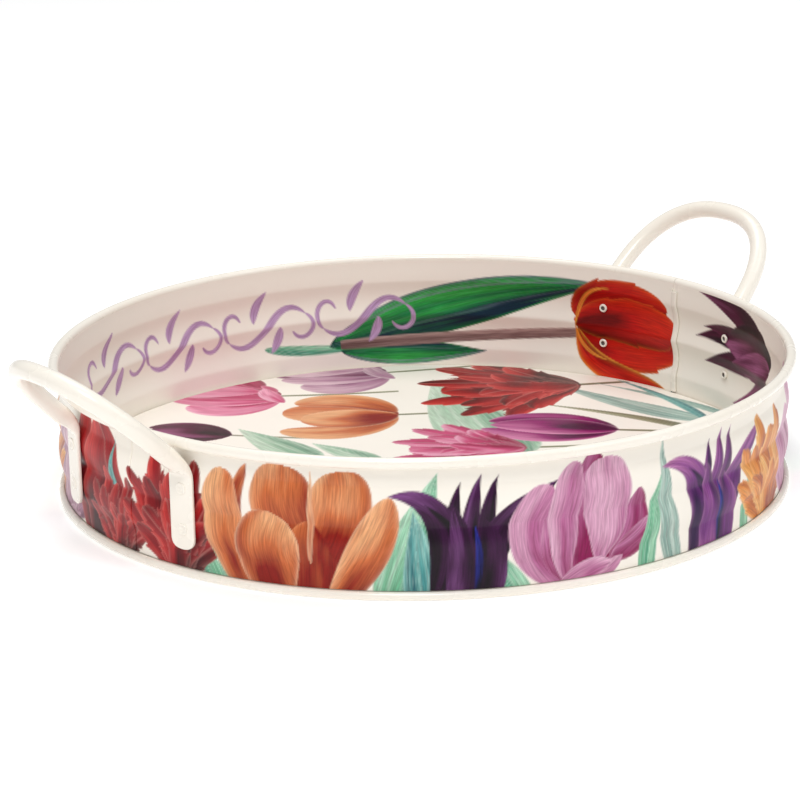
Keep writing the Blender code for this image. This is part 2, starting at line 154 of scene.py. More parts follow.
@dataclass
class Shells:
    """Closed shells gathered for one mesh."""

    points: list[np.ndarray] = field(default_factory=list)
    faces: list[list[int]] = field(default_factory=list)
    count: int = 0

    def add(self, points: np.ndarray, faces: Iterable[Sequence[int]]) -> None:
        """Adds one shell, its faces numbered within it."""
        flat = points.reshape(-1, 3)
        self.faces.extend([[int(i) + self.count for i in face] for face in faces])
        self.points.append(flat)
        self.count += len(flat)

    def loft(self, sections: np.ndarray, closed: bool = False) -> None:
        """Adds a shell whose closed sections stand one after another.

        Args:
            sections: an array of section, point round the section, coordinate.
            closed: joins the last section to the first, instead of capping both.
        """
        count, size = sections.shape[:2]
        index = np.arange(count * size).reshape(count, size)
        if closed:
            index = np.vstack([index, index[:1]])
        across = np.roll(index, -1, axis=1)
        quads = np.stack([index[:-1], across[:-1], across[1:], index[1:]], axis=-1).reshape(-1, 4)
        faces = quads.tolist()
        if not closed:
            faces += [index[0].tolist(), index[-1][::-1].tolist()]
        self.add(sections, faces)

    def piece(self, name: str, smooth_angle: float = 40.0) -> bpy.types.Object:
        """Makes the object, with faces outwards and smooth shading.

        Args:
            name: the piece's name.
            smooth_angle: an edge sharper than this, in degrees, stays crisp.

        Returns:
            The new object, which rides on the tray.
        """
        mesh = bpy.data.meshes.new(name)
        mesh.from_pydata(np.vstack(self.points).tolist(), [], self.faces)
        shell = bmesh.new()
        shell.from_mesh(mesh)
        bmesh.ops.recalc_face_normals(shell, faces=shell.faces)
        shell.to_mesh(mesh)
        shell.free()
        mesh.shade_smooth()
        mesh.set_sharp_from_angle(angle=math.radians(smooth_angle))
        made = bpy.data.objects.new(name, mesh)
        bpy.context.scene.collection.objects.link(made)
        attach(made, BODY)
        LOG.info("%s: %d faces", name, len(mesh.polygons))
        return made


# --- finishes -------------------------------------------------------------------------------------


@dataclass
class Tree:
    """A material's node tree with short calls to add and join nodes."""

    material: bpy.types.Material

    @classmethod
    def new(cls, name: str) -> "Tree":
        """A tree of a new material with only its Principled shader and output."""
        material = bpy.data.materials.new(name)
        material.use_nodes = True
        return cls(material)

    @property
    def shader(self) -> bpy.types.Node:
        """The Principled shader."""
        return self.material.node_tree.nodes["Principled BSDF"]

    def node(self, kind: str, inputs: dict | None = None, **settings: object) -> bpy.types.Node:
        """Adds a node.

        Args:
            kind: the node type's name.
            inputs: socket name or number to a value, or to a socket that feeds it.
            settings: the node's own properties.

        Returns:
            The node.
        """
        made = self.material.node_tree.nodes.new(kind)
        for key, value in settings.items():
            setattr(made, key, value)
        for key, value in (inputs or {}).items():
            self.feed(made.inputs[key], value)
        return made

    def feed(self, socket: bpy.types.NodeSocket, value: object) -> None:
        """Links a socket into another, or sets its value."""
        if isinstance(value, bpy.types.NodeSocket):
            self.material.node_tree.links.new(value, socket)
        else:
            socket.default_value = value

    def noise(self, vector: bpy.types.NodeSocket, scale: float, detail: float) -> bpy.types.NodeSocket:
        """Fractal noise over a vector, as a number between 0 and 1."""
        made = self.node("ShaderNodeTexNoise", {"Vector": vector, "Scale": scale, "Detail": detail})
        return made.outputs["Fac"]

    def ramp(self, value: bpy.types.NodeSocket, source: tuple, target: tuple) -> bpy.types.NodeSocket:
        """A number moved from one range to another, held at its ends."""
        ends = dict(zip(("From Min", "From Max", "To Min", "To Max"), (*source, *target)))
        return self.node("ShaderNodeMapRange", {"Value": value, **ends}).outputs["Result"]

    def mix(
        self, share: object, first: object, second: object, blend: str = "MIX"
    ) -> bpy.types.NodeSocket:
        """Two colours blended by a share."""
        made = self.node("ShaderNodeMix", data_type="RGBA", blend_type=blend)
        self.feed(made.inputs[0], share)
        self.feed(made.inputs[6], first)
        self.feed(made.inputs[7], second)
        return made.outputs[2]

    def place(self) -> bpy.types.NodeSocket:
        """Object coordinates."""
        return self.node("ShaderNodeTexCoord").outputs["Object"]

    def satin(self, place: bpy.types.NodeSocket, roughness: tuple[float, float], peel: float) -> None:
        """An uneven roughness and a slight orange peel.

        Args:
            place: the coordinates that both follow.
            roughness: the least and the greatest roughness.
            peel: the peel's depth in metres.
        """
        gloss = self.ramp(self.noise(place, 60.0, 4.0), (0.3, 0.7), roughness)
        self.feed(self.shader.inputs["Roughness"], gloss)
        height = self.noise(place, 420.0, 2.0)
        made = self.node("ShaderNodeBump", {"Height": height, "Distance": peel, "Strength": 1.0})
        self.feed(self.shader.inputs["Normal"], made.outputs["Normal"])


@dataclass(frozen=True)
class Enamel:
    """Stoved cream enamel with a soft unevenness of tone and a slight orange peel."""

    name: str
    colour: str = "FBF5EA"
    shade: str = "F8F1E4"
    roughness: tuple[float, float] = (0.24, 0.29)
    coat: float = 0.30
    coat_roughness: float = 0.08
    peel: float = 0.000015

    def build(self) -> bpy.types.Material:
        """The material."""
        tree = Tree.new(self.name)
        place = tree.place()
        cloud = tree.noise(place, 14.0, 3.0)
        share = tree.ramp(cloud, (0.35, 0.65), (0.0, 1.0))
        tone = tree.mix(share, (*ink(self.colour), 1.0), (*ink(self.shade), 1.0))
        tree.feed(tree.shader.inputs["Base Color"], tone)
        tree.shader.inputs["Coat Weight"].default_value = self.coat
        tree.shader.inputs["Coat Roughness"].default_value = self.coat_roughness
        tree.satin(place, self.roughness, self.peel)
        return tree.material


@dataclass(frozen=True)
class Print:
    """Enamel with a printed picture: the vertex colour, and brush marks that follow its shapes.

    dark and light are what the two sides of a brush mark multiply the ink by.
    """

    name: str
    brush: float = 0.30
    dark: tuple[float, float, float] = (0.58, 0.44, 0.46)
    light: tuple[float, float, float] = (1.28, 1.22, 1.22)
    roughness: tuple[float, float] = (0.30, 0.40)
    gloss: float = 0.22
    peel: float = 0.00003

    def build(self) -> bpy.types.Material:
        """The material."""
        tree = Tree.new(self.name)
        picture = tree.node("ShaderNodeAttribute", attribute_name="print")
        fibre = tree.node("ShaderNodeAttribute", attribute_name="fibre").outputs["Vector"]
        hair = tree.ramp(tree.noise(fibre, 1.0, 3.0), (0.30, 0.70), (0.0, 1.0))
        colour, cover = picture.outputs["Color"], picture.outputs["Alpha"]
        dark = tree.mix(1.0, colour, (*self.dark, 1.0), "MULTIPLY")
        light = tree.mix(1.0, colour, (*self.light, 1.0), "MULTIPLY")
        brushed = tree.mix(hair, dark, light)
        amount = tree.node("ShaderNodeMath", {0: cover, 1: self.brush * 2}, operation="MULTIPLY")
        marked = tree.mix(amount.outputs[0], colour, brushed)
        tree.feed(tree.shader.inputs["Base Color"], marked)
        tree.shader.inputs["Specular IOR Level"].default_value = self.gloss
        tree.satin(tree.place(), self.roughness, self.peel)
        return tree.material


@dataclass(frozen=True)
class BareTin:
    """The dull grey inside of a rivet's bore."""

    name: str
    colour: str = "6F6A66"
    shade: str = "A39E98"
    metallic: float = 0.7
    roughness: float = 0.45

    def build(self) -> bpy.types.Material:
        """The material."""
        tree = Tree.new(self.name)
        cloud = tree.noise(tree.place(), 900.0, 3.0)
        tone = tree.mix(cloud, (*ink(self.colour), 1.0), (*ink(self.shade), 1.0))
        tree.feed(tree.shader.inputs["Base Color"], tone)
        tree.shader.inputs["Metallic"].default_value = self.metallic
        tree.shader.inputs["Roughness"].default_value = self.roughness
        return tree.material


# --- the print ------------------------------------------------------------------------------------


@dataclass(frozen=True)
class Hues:
    """The inks of one flower or leaf: its heart, its body, its light parts and its edge."""

    deep: str
    body: str
    light: str
    edge: str


ORANGE = Hues("8A1A10", "CC7140", "E8AE7C", "F3D3B0")
PINK = Hues("8A0F52", "B66C98", "D9AAC4", "E9CBDC")
PLUM = Hues("10060E", "3E1440", "7F4E88", "4A2350")
PURPLE = Hues("2C0B42", "742F80", "B877AE", "D0A0C0")
CRIMSON = Hues("3A060E", "98121B", "CE3A36", "E9A79C")
RED = Hues("6E0303", "BC120C", "DC3418", "EDAE42")
MAUVE = Hues("7A3F62", "B0809C", "D9BCC8", "E6D5DC")
WINE = Hues("14040E", "500F34", "9A5880", "7A3A62")
MAGENTA = Hues("45063A", "93196C", "D27FAA", "EFC6D8")
ROSE = Hues("960F44", "CB4A7A", "EBA6C0", "F6D6E0")
AMBER = Hues("A03C10", "DB8428", "F0BB6C", "F6D8A6")
SEA = Hues("2C8570", "6CB890", "ABDCBE", "D2EEDD")
TEAL = Hues("1B5A68", "4C9A98", "8CC6BC", "B4DCD0")
MIST = Hues("5C8A86", "8FB4A8", "C0D8CC", "DCE9E0")
VIVID = Hues("08283C", "128040", "35B048", "7A8F9A")
OLIVE = Hues("5C6048", "8A8E70", "B2B498", "C2C4AC")
STALK = Hues("5A3E3C", "8C706C", "B49A94", "C4ACA4")
FERN = Hues("6B9C80", "9CC4A6", "CBE0CA", "DFECDD")
LILAC = Hues("B295BE", "BFA0CA", "CCB2D6", "B79AC2")
COBALT = Hues("07051C", "141A6E", "3038A0", "2A1450")


# Torn petals: how unevenly the teeth stand, how far one side's are shifted against the other's, how
# far they lean forward, each in teeth, and the shares of the length between which they set in.
TOOTH_WOBBLE = 0.9
TOOTH_OFFSET = 0.43
TOOTH_LEAN = 0.5
TOOTH_START = (0.12, 0.4)


@dataclass(frozen=True)
class Brush:
    """One brush shape: a bent middle line with a width that swells and closes again.

    The half width at a share t of the length is t to the power of base times (1 - t) to the power
    of tip, scaled so that its greatest value is width. A power of a half rounds that end, one makes
    it a straight point, and more draws it out. Teeth bite ragged deep into each side: a tooth's
    width grows with the square of the way along it, then drops. All lengths are shares of the
    flower's height. tones are the shares from deep ink to light ink at the foot, 45% up and the tip.
    A shape with hues of its own doesn't take the flower's.
    """

    spine: tuple[tuple[float, float], ...]
    width: float
    base: float = 0.6
    tip: float = 0.6
    tones: tuple[float, float, float] = (0.1, 0.5, 0.9)
    edge: float = 0.5
    shade: float = 0.25
    ragged: float = 0.0
    rib: float = 0.0
    stripes: float = 0.0
    flame: float = 0.0
    teeth: float = 5.0
    hues: Hues | None = None

    def half_width(self, t: np.ndarray, across: np.ndarray, seed: int) -> np.ndarray:
        """The half width at t, bitten into teeth that lean forward, of its own on each side.

        Args:
            t: shares of the length.
            across: distances from the middle line, negative to its left.
            seed: the shape's own seed.

        Returns:
            Half widths as shares of the flower's height.
        """
        side, share = np.sign(across), np.abs(across) / self.width
        peak = self.base / (self.base + self.tip)
        most = peak**self.base * (1 - peak) ** self.tip
        inside = np.clip(t, 0.0, 1.0)
        half = self.width * inside**self.base * (1 - inside) ** self.tip / most
        if self.ragged:
            wobble = lattice(np.column_stack([t * 6.0, side * 7.0 + 20.0]), seed)
            along = t * self.teeth + TOOTH_WOBBLE * wobble + TOOTH_OFFSET * (side > 0)
            along = (along - TOOTH_LEAN * share) % 1.0
            bite = ease(*TOOTH_START, t) * (1 - along**2)
            half = half * (1 - self.ragged * bite)
        return half


class Bloom(Enum):
    """The kinds of tulip, leaf and stroke in the print."""

    CUP = auto()
    LILY = auto()
    PARROT = auto()
    BUD = auto()
    GOBLET = auto()
    TULIP = auto()
    SPLAYED = auto()
    REED = auto()
    LEAF = auto()
    BLADE = auto()
    FROND = auto()
    CHALICE = auto()
    STEM = auto()
    SCROLL = auto()


@dataclass(frozen=True)
class Sprig:
    """One flower, leaf or stroke of the print.

    across and up are its foot's place in millimetres on a floor, or its azimuth in degrees and its
    height in millimetres on a wall. size is its height in millimetres.
    """

    bloom: Bloom
    hues: Hues
    across: float
    up: float
    size: float
    turn: float = 0.0
    mirror: bool = False


def torn_petals() -> tuple[Brush, ...]:
    """A parrot tulip: many torn petals fanned out, toothed along both sides, with pale edges.

    Each row of the fan is a lean in degrees, a reach and a width. The petals bend to one side and
    the other in turn.

    Returns:
        The heart behind the fan, then the petals from the farthest back.
    """
    petals = [
        Brush(((0.0, -0.1), (0.0, 0.4), (0.02, 0.86)), 0.4,
              0.6, 0.6, (0.0, 0.3, 0.5), 0.2, 0.1, 0.3, teeth=7.0)
    ]
    fan = (
        (-54, 0.82, 0.13), (50, 0.88, 0.14), (-36, 0.98, 0.14), (34, 1.00, 0.14), (-14, 1.06, 0.15),
        (12, 1.02, 0.15), (-60, 0.58, 0.13), (56, 0.62, 0.13), (-24, 0.84, 0.16), (26, 0.78, 0.15),
        (-2, 0.86, 0.16), (-40, 0.62, 0.15), (38, 0.58, 0.15), (-12, 0.62, 0.16), (14, 0.54, 0.15),
    )
    tones = ((0.0, 0.45, 0.6), (0.0, 0.25, 0.8), (0.1, 0.6, 0.4))
    for number, (lean, reach, width) in enumerate(fan):
        angle = math.radians(lean)
        bend = 0.10 if number % 2 else -0.10
        tip = (math.sin(angle) * reach, math.cos(angle) * reach)
        middle = (math.sin(angle * 0.6) * reach * 0.55 + bend, math.cos(angle * 0.6) * reach * 0.5)
        petals.append(
            Brush(
                ((0.0, -0.08), middle, tip), width, 0.7, 0.6, tones[number % 3], 0.32, 0.35, 0.27,
                rib=0.3 * (number % 2), flame=0.2, teeth=2.4 + number % 3,
            )
        )
    return tuple(petals)


# Each kind's brush shapes, the farthest back first: spine, width, base, tip, tones, edge, shade, ragged.
PETALS: dict[Bloom, tuple[Brush, ...]] = {
    Bloom.PARROT: torn_petals(),
    # A full rounded tulip: two back petals, two sides and two that cross in front.
    Bloom.CUP: (
        Brush(((-0.56, 0.4), (-0.58, 0.8), (-0.46, 1.0)), 0.055, 0.7, 0.8, (0.1, 0.2, 0.35), 0.3),
        Brush(((-0.02, 0.2), (-0.24, 0.62), (-0.18, 1.02)), 0.24,
              0.7, 0.36, (0.0, 0.35, 0.75), 0.45, flame=0.3),
        Brush(((0.04, 0.2), (0.3, 0.62), (0.24, 1.0)), 0.23,
              0.7, 0.36, (0.0, 0.45, 0.7), 0.45, flame=0.3),
        Brush(((-0.04, -0.1), (-0.02, 0.3), (0.0, 0.62)), 0.24, 0.4, 0.7, (0.0, 0.1, 0.3), 0.0),
        Brush(((0.02, 0.3), (0.03, 0.6), (0.03, 0.99)), 0.022, 0.6, 0.8, (0.1, 0.5, 0.9), 0.7),
        Brush(((-0.42, -0.06), (-0.74, 0.4), (-0.66, 0.94)), 0.16,
              0.8, 0.42, (0.25, 0.55, 0.9), 0.5, 0.25, flame=0.2),
        Brush(((0.1, -0.08), (0.44, 0.3), (0.6, 0.82)), 0.155,
              0.8, 0.55, (0.25, 0.55, 0.9), 0.5, 0.35, flame=0.5),
        Brush(((-0.14, -0.1), (-0.4, 0.34), (-0.26, 0.66)), 0.25,
              0.8, 0.5, (0.1, 0.6, 1.0), 0.7, -0.3, flame=0.6),
    ),
    # A tall closed tulip: broad pale petals with deep ones showing between them.
    Bloom.GOBLET: (
        Brush(((0.02, 0.6), (0.04, 0.9), (0.13, 1.03)), 0.09, 0.6, 0.4, (0.0, 0.12, 0.3), 0.1),
        Brush(((0.04, -0.02), (0.08, 0.44), (0.04, 0.9)), 0.21, 0.5, 0.7, (0.0, 0.12, 0.3), 0.1),
        Brush(((0.22, 0.14), (0.48, 0.32), (0.48, 0.7)), 0.13, 0.7, 0.7, (0.0, 0.12, 0.3), 0.3),
        Brush(((0.24, 0.16), (0.52, 0.28), (0.68, 0.5)), 0.11, 0.7, 1.0, (0.1, 0.2, 0.3), 0.3),
        Brush(((-0.14, -0.02), (-0.62, 0.38), (-0.26, 0.82)), 0.185,
              0.75, 0.5, (0.4, 0.6, 0.75), 0.45, 0.15),
        Brush(((-0.12, 0.02), (-0.36, 0.34), (-0.22, 0.66)), 0.085, 0.8, 0.9, (0.0, 0.12, 0.3), 0.1),
        Brush(((-0.12, 0.0), (-0.26, 0.52), (-0.04, 0.98)), 0.125,
              0.7, 0.45, (0.35, 0.6, 0.8), 0.45, 0.25),
        Brush(((0.13, 0.14), (0.22, 0.55), (0.2, 0.98)), 0.205,
              0.75, 0.36, (0.55, 0.75, 0.92), 0.5, 0.1, stripes=0.1),
        Brush(((0.1, 0.02), (0.22, 0.08), (0.34, 0.17)), 0.055, 0.7, 0.7, (0.4, 0.6, 0.7), 0.4),
        Brush(((-0.22, -0.06), (0.0, 0.12), (0.24, 0.14)), 0.095, 0.7, 0.7, (0.5, 0.7, 0.85), 0.5),
    ),
    # A closed tulip seen from its side: three petals in an egg before a fourth, with parted tips.
    Bloom.TULIP: (
        Brush(((0.0, -0.04), (0.1, 0.5), (0.16, 1.0)), 0.3, 0.45, 0.45, (0.1, 0.5, 0.8), 0.4),
        Brush(((0.06, -0.02), (0.66, 0.3), (0.4, 0.88)), 0.2, 0.6, 0.45, (0.2, 0.6, 0.9), 0.5, -0.2),
        Brush(((-0.04, -0.02), (-0.68, 0.34), (-0.38, 1.02)), 0.2, 0.6, 0.45, (0.3, 0.6, 0.95), 0.5, 0.2),
        Brush(((0.0, -0.04), (-0.14, 0.36), (-0.04, 0.84)), 0.27,
              0.6, 0.5, (0.1, 0.6, 1.0), 0.6, -0.3, flame=0.7),
    ),
    # A lily-flowered tulip: narrow pointed petals that stand up and flare.
    Bloom.LILY: (
        Brush(((-0.08, 0.3), (-0.18, 0.7), (-0.06, 0.97)), 0.065, 0.7, 1.2, (0.0, 0.12, 0.3), 0.1),
        Brush(((-0.1, 0.3), (-0.1, 0.7), (-0.24, 0.84)), 0.07, 0.7, 1.4, (0.0, 0.12, 0.3), 0.1),
        Brush(((0.0, 0.3), (-0.02, 0.75), (0.1, 1.03)), 0.07, 0.7, 1.2, (0.1, 0.4, 0.6), 0.3),
        Brush(((0.12, 0.3), (0.1, 0.76), (0.23, 1.01)), 0.065, 0.7, 1.2, (0.0, 0.12, 0.3), 0.5, 0.2),
        Brush(((0.2, -0.06), (0.06, 0.56), (0.34, 0.72), (0.7, 0.92)), 0.115,
              0.7, 1.0, (0.0, 0.35, 0.7), 0.4, 0.2),
        Brush(((-0.3, -0.04), (-0.08, 0.5), (-0.2, 0.92), (-0.62, 0.86)), 0.12,
              0.7, 1.0, (0.1, 0.3, 1.0), 0.4, -0.2),
        Brush(((-0.2, -0.06), (0.0, 0.36), (-0.1, 0.62), (-0.34, 0.8)), 0.055,
              0.7, 1.0, (0.0, 0.0, 0.1), 0.0),
        Brush(((0.1, -0.08), (0.22, 0.34), (0.12, 0.66)), 0.13, 0.6, 0.9, (0.25, 0.3, 0.2), 0.2, -0.3),
        Brush(((-0.12, -0.08), (0.02, 0.34), (-0.14, 0.82)), 0.12, 0.6, 1.0, (0.9, 0.5, 0.4), 0.3, 0.2),
        Brush(((0.04, 0.06), (0.1, 0.3), (0.04, 0.62)), 0.03,
              0.7, 0.9, (0.0, 0.4, 0.9), 0.1, hues=COBALT),
    ),
    # A lily-flowered tulip seen from its side with one petal folded back.
    Bloom.SPLAYED: (
        Brush(((-0.02, 0.05), (-0.26, 0.12), (-0.34, 0.54)), 0.1, 0.7, 1.1, (0.3, 0.8, 1.0), 0.3),
        Brush(((0.16, 0.0), (0.34, 0.34), (0.4, 0.99)), 0.09, 0.7, 1.1, (0.0, 0.3, 0.6), 0.3, 0.2),
        Brush(((0.06, 0.0), (0.18, 0.6), (0.05, 1.04)), 0.09, 0.7, 1.2, (0.0, 0.2, 0.4), 0.3, -0.2),
        Brush(((0.06, 0.0), (0.2, 0.6), (0.14, 0.95)), 0.07, 0.7, 1.2, (0.1, 0.3, 0.5), 0.3),
        Brush(((0.0, 0.0), (-0.02, 0.6), (-0.12, 0.94)), 0.09, 0.7, 1.3, (0.1, 0.4, 0.3), 0.3, 0.2),
        Brush(((0.1, -0.06), (0.16, 0.3), (0.08, 0.72)), 0.19, 0.5, 0.9, (0.0, 0.4, 0.7), 0.2, 0.4),
        Brush(((0.02, -0.04), (0.0, 0.2), (-0.04, 0.56)), 0.12, 0.6, 0.9, (0.6, 0.9, 0.6), 0.4, -0.3),
    ),
    # A long tulip that is still closed: three overlapping pointed petals.
    Bloom.BUD: (
        Brush(((-0.02, 0.0), (-0.34, 0.46), (-0.08, 1.0)), 0.15,
              0.7, 0.6, (0.2, 0.5, 0.9), 0.4, 0.2, flame=0.2),
        Brush(((0.02, 0.0), (0.36, 0.46), (0.1, 0.97)), 0.15, 0.7, 0.6, (0.0, 0.2, 0.5), 0.3, -0.2),
        Brush(((0.0, -0.02), (0.06, 0.45), (0.02, 0.95)), 0.19,
              0.7, 0.7, (0.1, 0.5, 0.9), 0.4, 0.3, flame=0.5),
    ),
    # A broad tulip leaf: a striped face and a light fold along one side.
    Bloom.LEAF: (
        Brush(((0.0, 0.0), (0.05, 0.5), (0.16, 1.0)), 0.17,
              0.45, 1.1, (0.4, 0.55, 0.8), 0.2, 0.2, stripes=0.4),
        Brush(((0.05, 0.0), (0.17, 0.5), (0.16, 0.98)), 0.06,
              0.5, 1.2, (0.1, 0.3, 0.5), 0.3, 0.2, stripes=0.3),
    ),
    # A narrow pointed leaf with one fold.
    Bloom.BLADE: (
        Brush(((0.0, 0.0), (-0.05, 0.5), (0.04, 1.0)), 0.08,
              0.45, 1.3, (0.3, 0.5, 0.5), 0.2, 0.3, stripes=0.3),
        Brush(((0.02, 0.0), (0.02, 0.45), (0.03, 0.92)), 0.03, 0.5, 1.4, (0.7, 0.8, 0.6), 0.1, 0.2),
    ),
    # A very narrow curved leaf.
    Bloom.REED: (
        Brush(((0.0, 0.0), (0.08, 0.45), (-0.02, 1.0)), 0.035,
              0.45, 1.2, (0.2, 0.5, 0.6), 0.2, 0.3, stripes=0.3),
    ),
    # A long leaf seen along its length: a grey back, a dark face, a bright band and a deep keel.
    Bloom.FROND: (
        Brush(((0.0, 0.0), (0.03, 0.42), (0.0, 1.0)), 0.082,
              0.75, 1.1, (0.25, 0.1, 0.1), 0.0, stripes=0.25),
        Brush(((0.01, 0.02), (0.07, 0.42), (0.0, 0.97)), 0.04,
              0.8, 1.1, (0.5, 0.75, 0.4), 0.0, -0.2, stripes=0.1),
        Brush(((-0.02, 0.04), (-0.06, 0.42), (-0.02, 0.8)), 0.026, 0.9, 1.2, (0.1, 0.0, 0.0), 0.0),
        Brush(((0.02, 0.03), (0.17, 0.38), (0.0, 1.0)), 0.016,
              0.7, 0.6, (0.7, 0.8, 0.7), 1.0, stripes=0.4),
    ),
    # A wide open tulip with wavy petal tips and a warm rim.
    Bloom.CHALICE: (
        Brush(((-0.04, 0.02), (-0.34, 0.1), (-0.22, 0.92)), 0.19,
              0.45, 0.4, (0.2, 0.45, 0.6), 0.3, 0.2, 0.12, teeth=2.6),
        Brush(((0.04, 0.02), (0.26, 0.3), (0.1, 1.03)), 0.23,
              0.5, 0.35, (0.2, 0.45, 0.6), 0.4, -0.2, 0.14, teeth=3.2),
        Brush(((0.06, 0.02), (0.5, 0.06), (0.42, 0.72), (0.52, 0.98)), 0.105,
              0.6, 0.65, (0.3, 0.6, 0.7), 0.9, -0.2),
        Brush(((0.0, -0.01), (-0.12, 0.45), (0.0, 1.02)), 0.22,
              0.5, 0.35, (0.2, 0.45, 0.6), 0.2, 0.25, 0.1, flame=0.4, teeth=2.8),
        Brush(((0.02, 0.0), (-0.34, 0.02), (-0.33, 0.34)), 0.016, 0.5, 0.8, (1.0, 1.0, 1.0), 1.0),
        Brush(((0.02, 0.0), (0.26, 0.0), (0.3, 0.3)), 0.014, 0.5, 0.8, (1.0, 1.0, 1.0), 1.0),
    ),
    # A slightly bent stalk, its foot a little wider than its neck.
    Bloom.STEM: (
        Brush(((0.0, 0.0), (0.03, 0.5), (0.0, 1.0)), 0.022, 0.06, 0.03, (0.3, 0.5, 0.6), 0.3, 0.4),
    ),
    # A plain penman's flourish: two opposed curls on one swelling stroke, and two leaf drops.
    Bloom.SCROLL: (
        Brush(((0.0, 0.1), (0.45, -0.3), (0.62, 0.75), (1.05, 0.35)), 0.048,
              0.5, 0.5, (0.5, 0.5, 0.5), 0.3, 0.0),
        Brush(((0.0, 0.1), (-0.22, 0.28), (0.05, 0.62), (0.16, 0.34)), 0.03,
              0.4, 0.4, (0.5, 0.5, 0.5), 0.3, 0.0),
        Brush(((1.05, 0.35), (1.3, 0.2), (1.02, -0.12), (0.88, 0.14)), 0.03,
              0.4, 0.4, (0.5, 0.5, 0.5), 0.3, 0.0),
        Brush(((0.34, 0.3), (0.36, 0.55), (0.52, 0.7)), 0.06, 0.7, 0.9, (0.5, 0.5, 0.5), 0.3, 0.0),
        Brush(((0.7, 0.22), (0.72, 0.02), (0.58, -0.12)), 0.06, 0.7, 0.9, (0.5, 0.5, 0.5), 0.3, 0.0),
    ),
}


# --- where the flowers stand ----------------------------------------------------------------------


# Round the wall's two faces: kind, inks, azimuth, height, size, turn and whether it is mirrored. Each
# lies over those before it.
OUTSIDE = (
    Sprig(Bloom.GOBLET, MAUVE, 157.0, -4, 56, 4),
    Sprig(Bloom.BUD, CRIMSON, 169.5, -6, 76, -3),
    Sprig(Bloom.BLADE, TEAL, 175.4, -2, 62, -2),
    Sprig(Bloom.LEAF, SEA, 198.5, -6, 34, 18, True),
    Sprig(Bloom.PARROT, CRIMSON, 177.2, 0, 42, 0),
    Sprig(Bloom.PARROT, CRIMSON, 190.5, 2, 58, 0),
    Sprig(Bloom.LEAF, SEA, 203.5, -8, 34, 30, True),
    Sprig(Bloom.LEAF, SEA, 224.5, -8, 74, -9),
    Sprig(Bloom.LEAF, TEAL, 229.5, -12, 56, -4, True),
    Sprig(Bloom.CUP, ORANGE, 212.6, -4, 67),
    Sprig(Bloom.LEAF, SEA, 244.5, -8, 38, 20, True),
    Sprig(Bloom.LILY, PLUM, 236.0, -2, 62),
    Sprig(Bloom.GOBLET, PINK, 253.0, 1, 63),
    Sprig(Bloom.BLADE, SEA, 263.6, -8, 66, -8),
    Sprig(Bloom.BLADE, MIST, 269.8, -6, 76, 10),
    Sprig(Bloom.LILY, PURPLE, 278.0, -2, 62),
    Sprig(Bloom.BLADE, SEA, 286.6, -6, 52, -4),
    Sprig(Bloom.PARROT, AMBER, 295.0, 0, 57),
    Sprig(Bloom.GOBLET, PINK, 311.0, 0, 60),
    Sprig(Bloom.LEAF, SEA, 320.0, -8, 60, -6),
    Sprig(Bloom.LILY, PLUM, 330.5, -2, 60),
    Sprig(Bloom.LEAF, TEAL, 340.5, -8, 64, 6, True),
    Sprig(Bloom.CUP, ORANGE, 352.0, -4, 64, 0, True),
    Sprig(Bloom.BLADE, SEA, 2.0, -6, 58, 4),
    Sprig(Bloom.PARROT, CRIMSON, 12.0, 0, 58),
    Sprig(Bloom.LEAF, SEA, 23.0, -8, 58, 4),
    Sprig(Bloom.GOBLET, PINK, 34.0, 0, 62, 0, True),
    Sprig(Bloom.LEAF, TEAL, 45.0, -8, 66, -6),
    Sprig(Bloom.LILY, PURPLE, 56.0, -2, 62, 0, True),
    Sprig(Bloom.CUP, ORANGE, 78.0, -4, 66),
    Sprig(Bloom.LEAF, SEA, 91.0, -8, 70, 6),
    Sprig(Bloom.PARROT, CRIMSON, 103.0, 0, 58),
    Sprig(Bloom.BLADE, TEAL, 113.0, -6, 66, -4),
    Sprig(Bloom.LILY, PLUM, 123.0, -2, 62, 0, True),
    Sprig(Bloom.LEAF, SEA, 134.0, -8, 62, 6),
    Sprig(Bloom.PARROT, AMBER, 144.0, 0, 56),
)
INSIDE = (
    Sprig(Bloom.REED, SEA, 78.0, 22, 84, -92),
    Sprig(Bloom.FROND, VIVID, 64.0, 16, 86, -91),
    Sprig(Bloom.FROND, VIVID, 66.0, 19, 168, -76, True),
    Sprig(Bloom.STEM, STALK, 64.0, 19.5, 144, -86),
    Sprig(Bloom.CHALICE, RED, 21.5, 36, 67, -90),
    Sprig(Bloom.SCROLL, LILAC, 121.0, 26, 46),
    Sprig(Bloom.SCROLL, LILAC, 103.0, 25, 46),
    Sprig(Bloom.SCROLL, LILAC, 85.0, 25, 46),
    Sprig(Bloom.SCROLL, LILAC, 67.0, 26, 46),
    Sprig(Bloom.STEM, OLIVE, 333.0, 36, 50, -112),
    Sprig(Bloom.SPLAYED, WINE, 332.0, 38, 76, 90),
    Sprig(Bloom.GOBLET, MAUVE, 316.0, 6, 56),
    Sprig(Bloom.LEAF, SEA, 300.0, 4, 120, -80, True),
    Sprig(Bloom.STEM, STALK, 300.0, 22, 130, -88),
    Sprig(Bloom.CUP, ORANGE, 259.0, 30, 60, -90),
    Sprig(Bloom.SCROLL, LILAC, 236.0, 26, 42),
    Sprig(Bloom.SCROLL, LILAC, 218.5, 25, 42),
    Sprig(Bloom.SCROLL, LILAC, 201.0, 26, 42),
    Sprig(Bloom.LILY, PURPLE, 168.0, 34, 58, 84),
    Sprig(Bloom.STEM, OLIVE, 168.0, 34, 90, -96),
)


# A floor stalk's length as a share of its head's, and the degrees from its head's lean to its own.
STALK_LENGTH = 1.1
STALK_TURN = 184


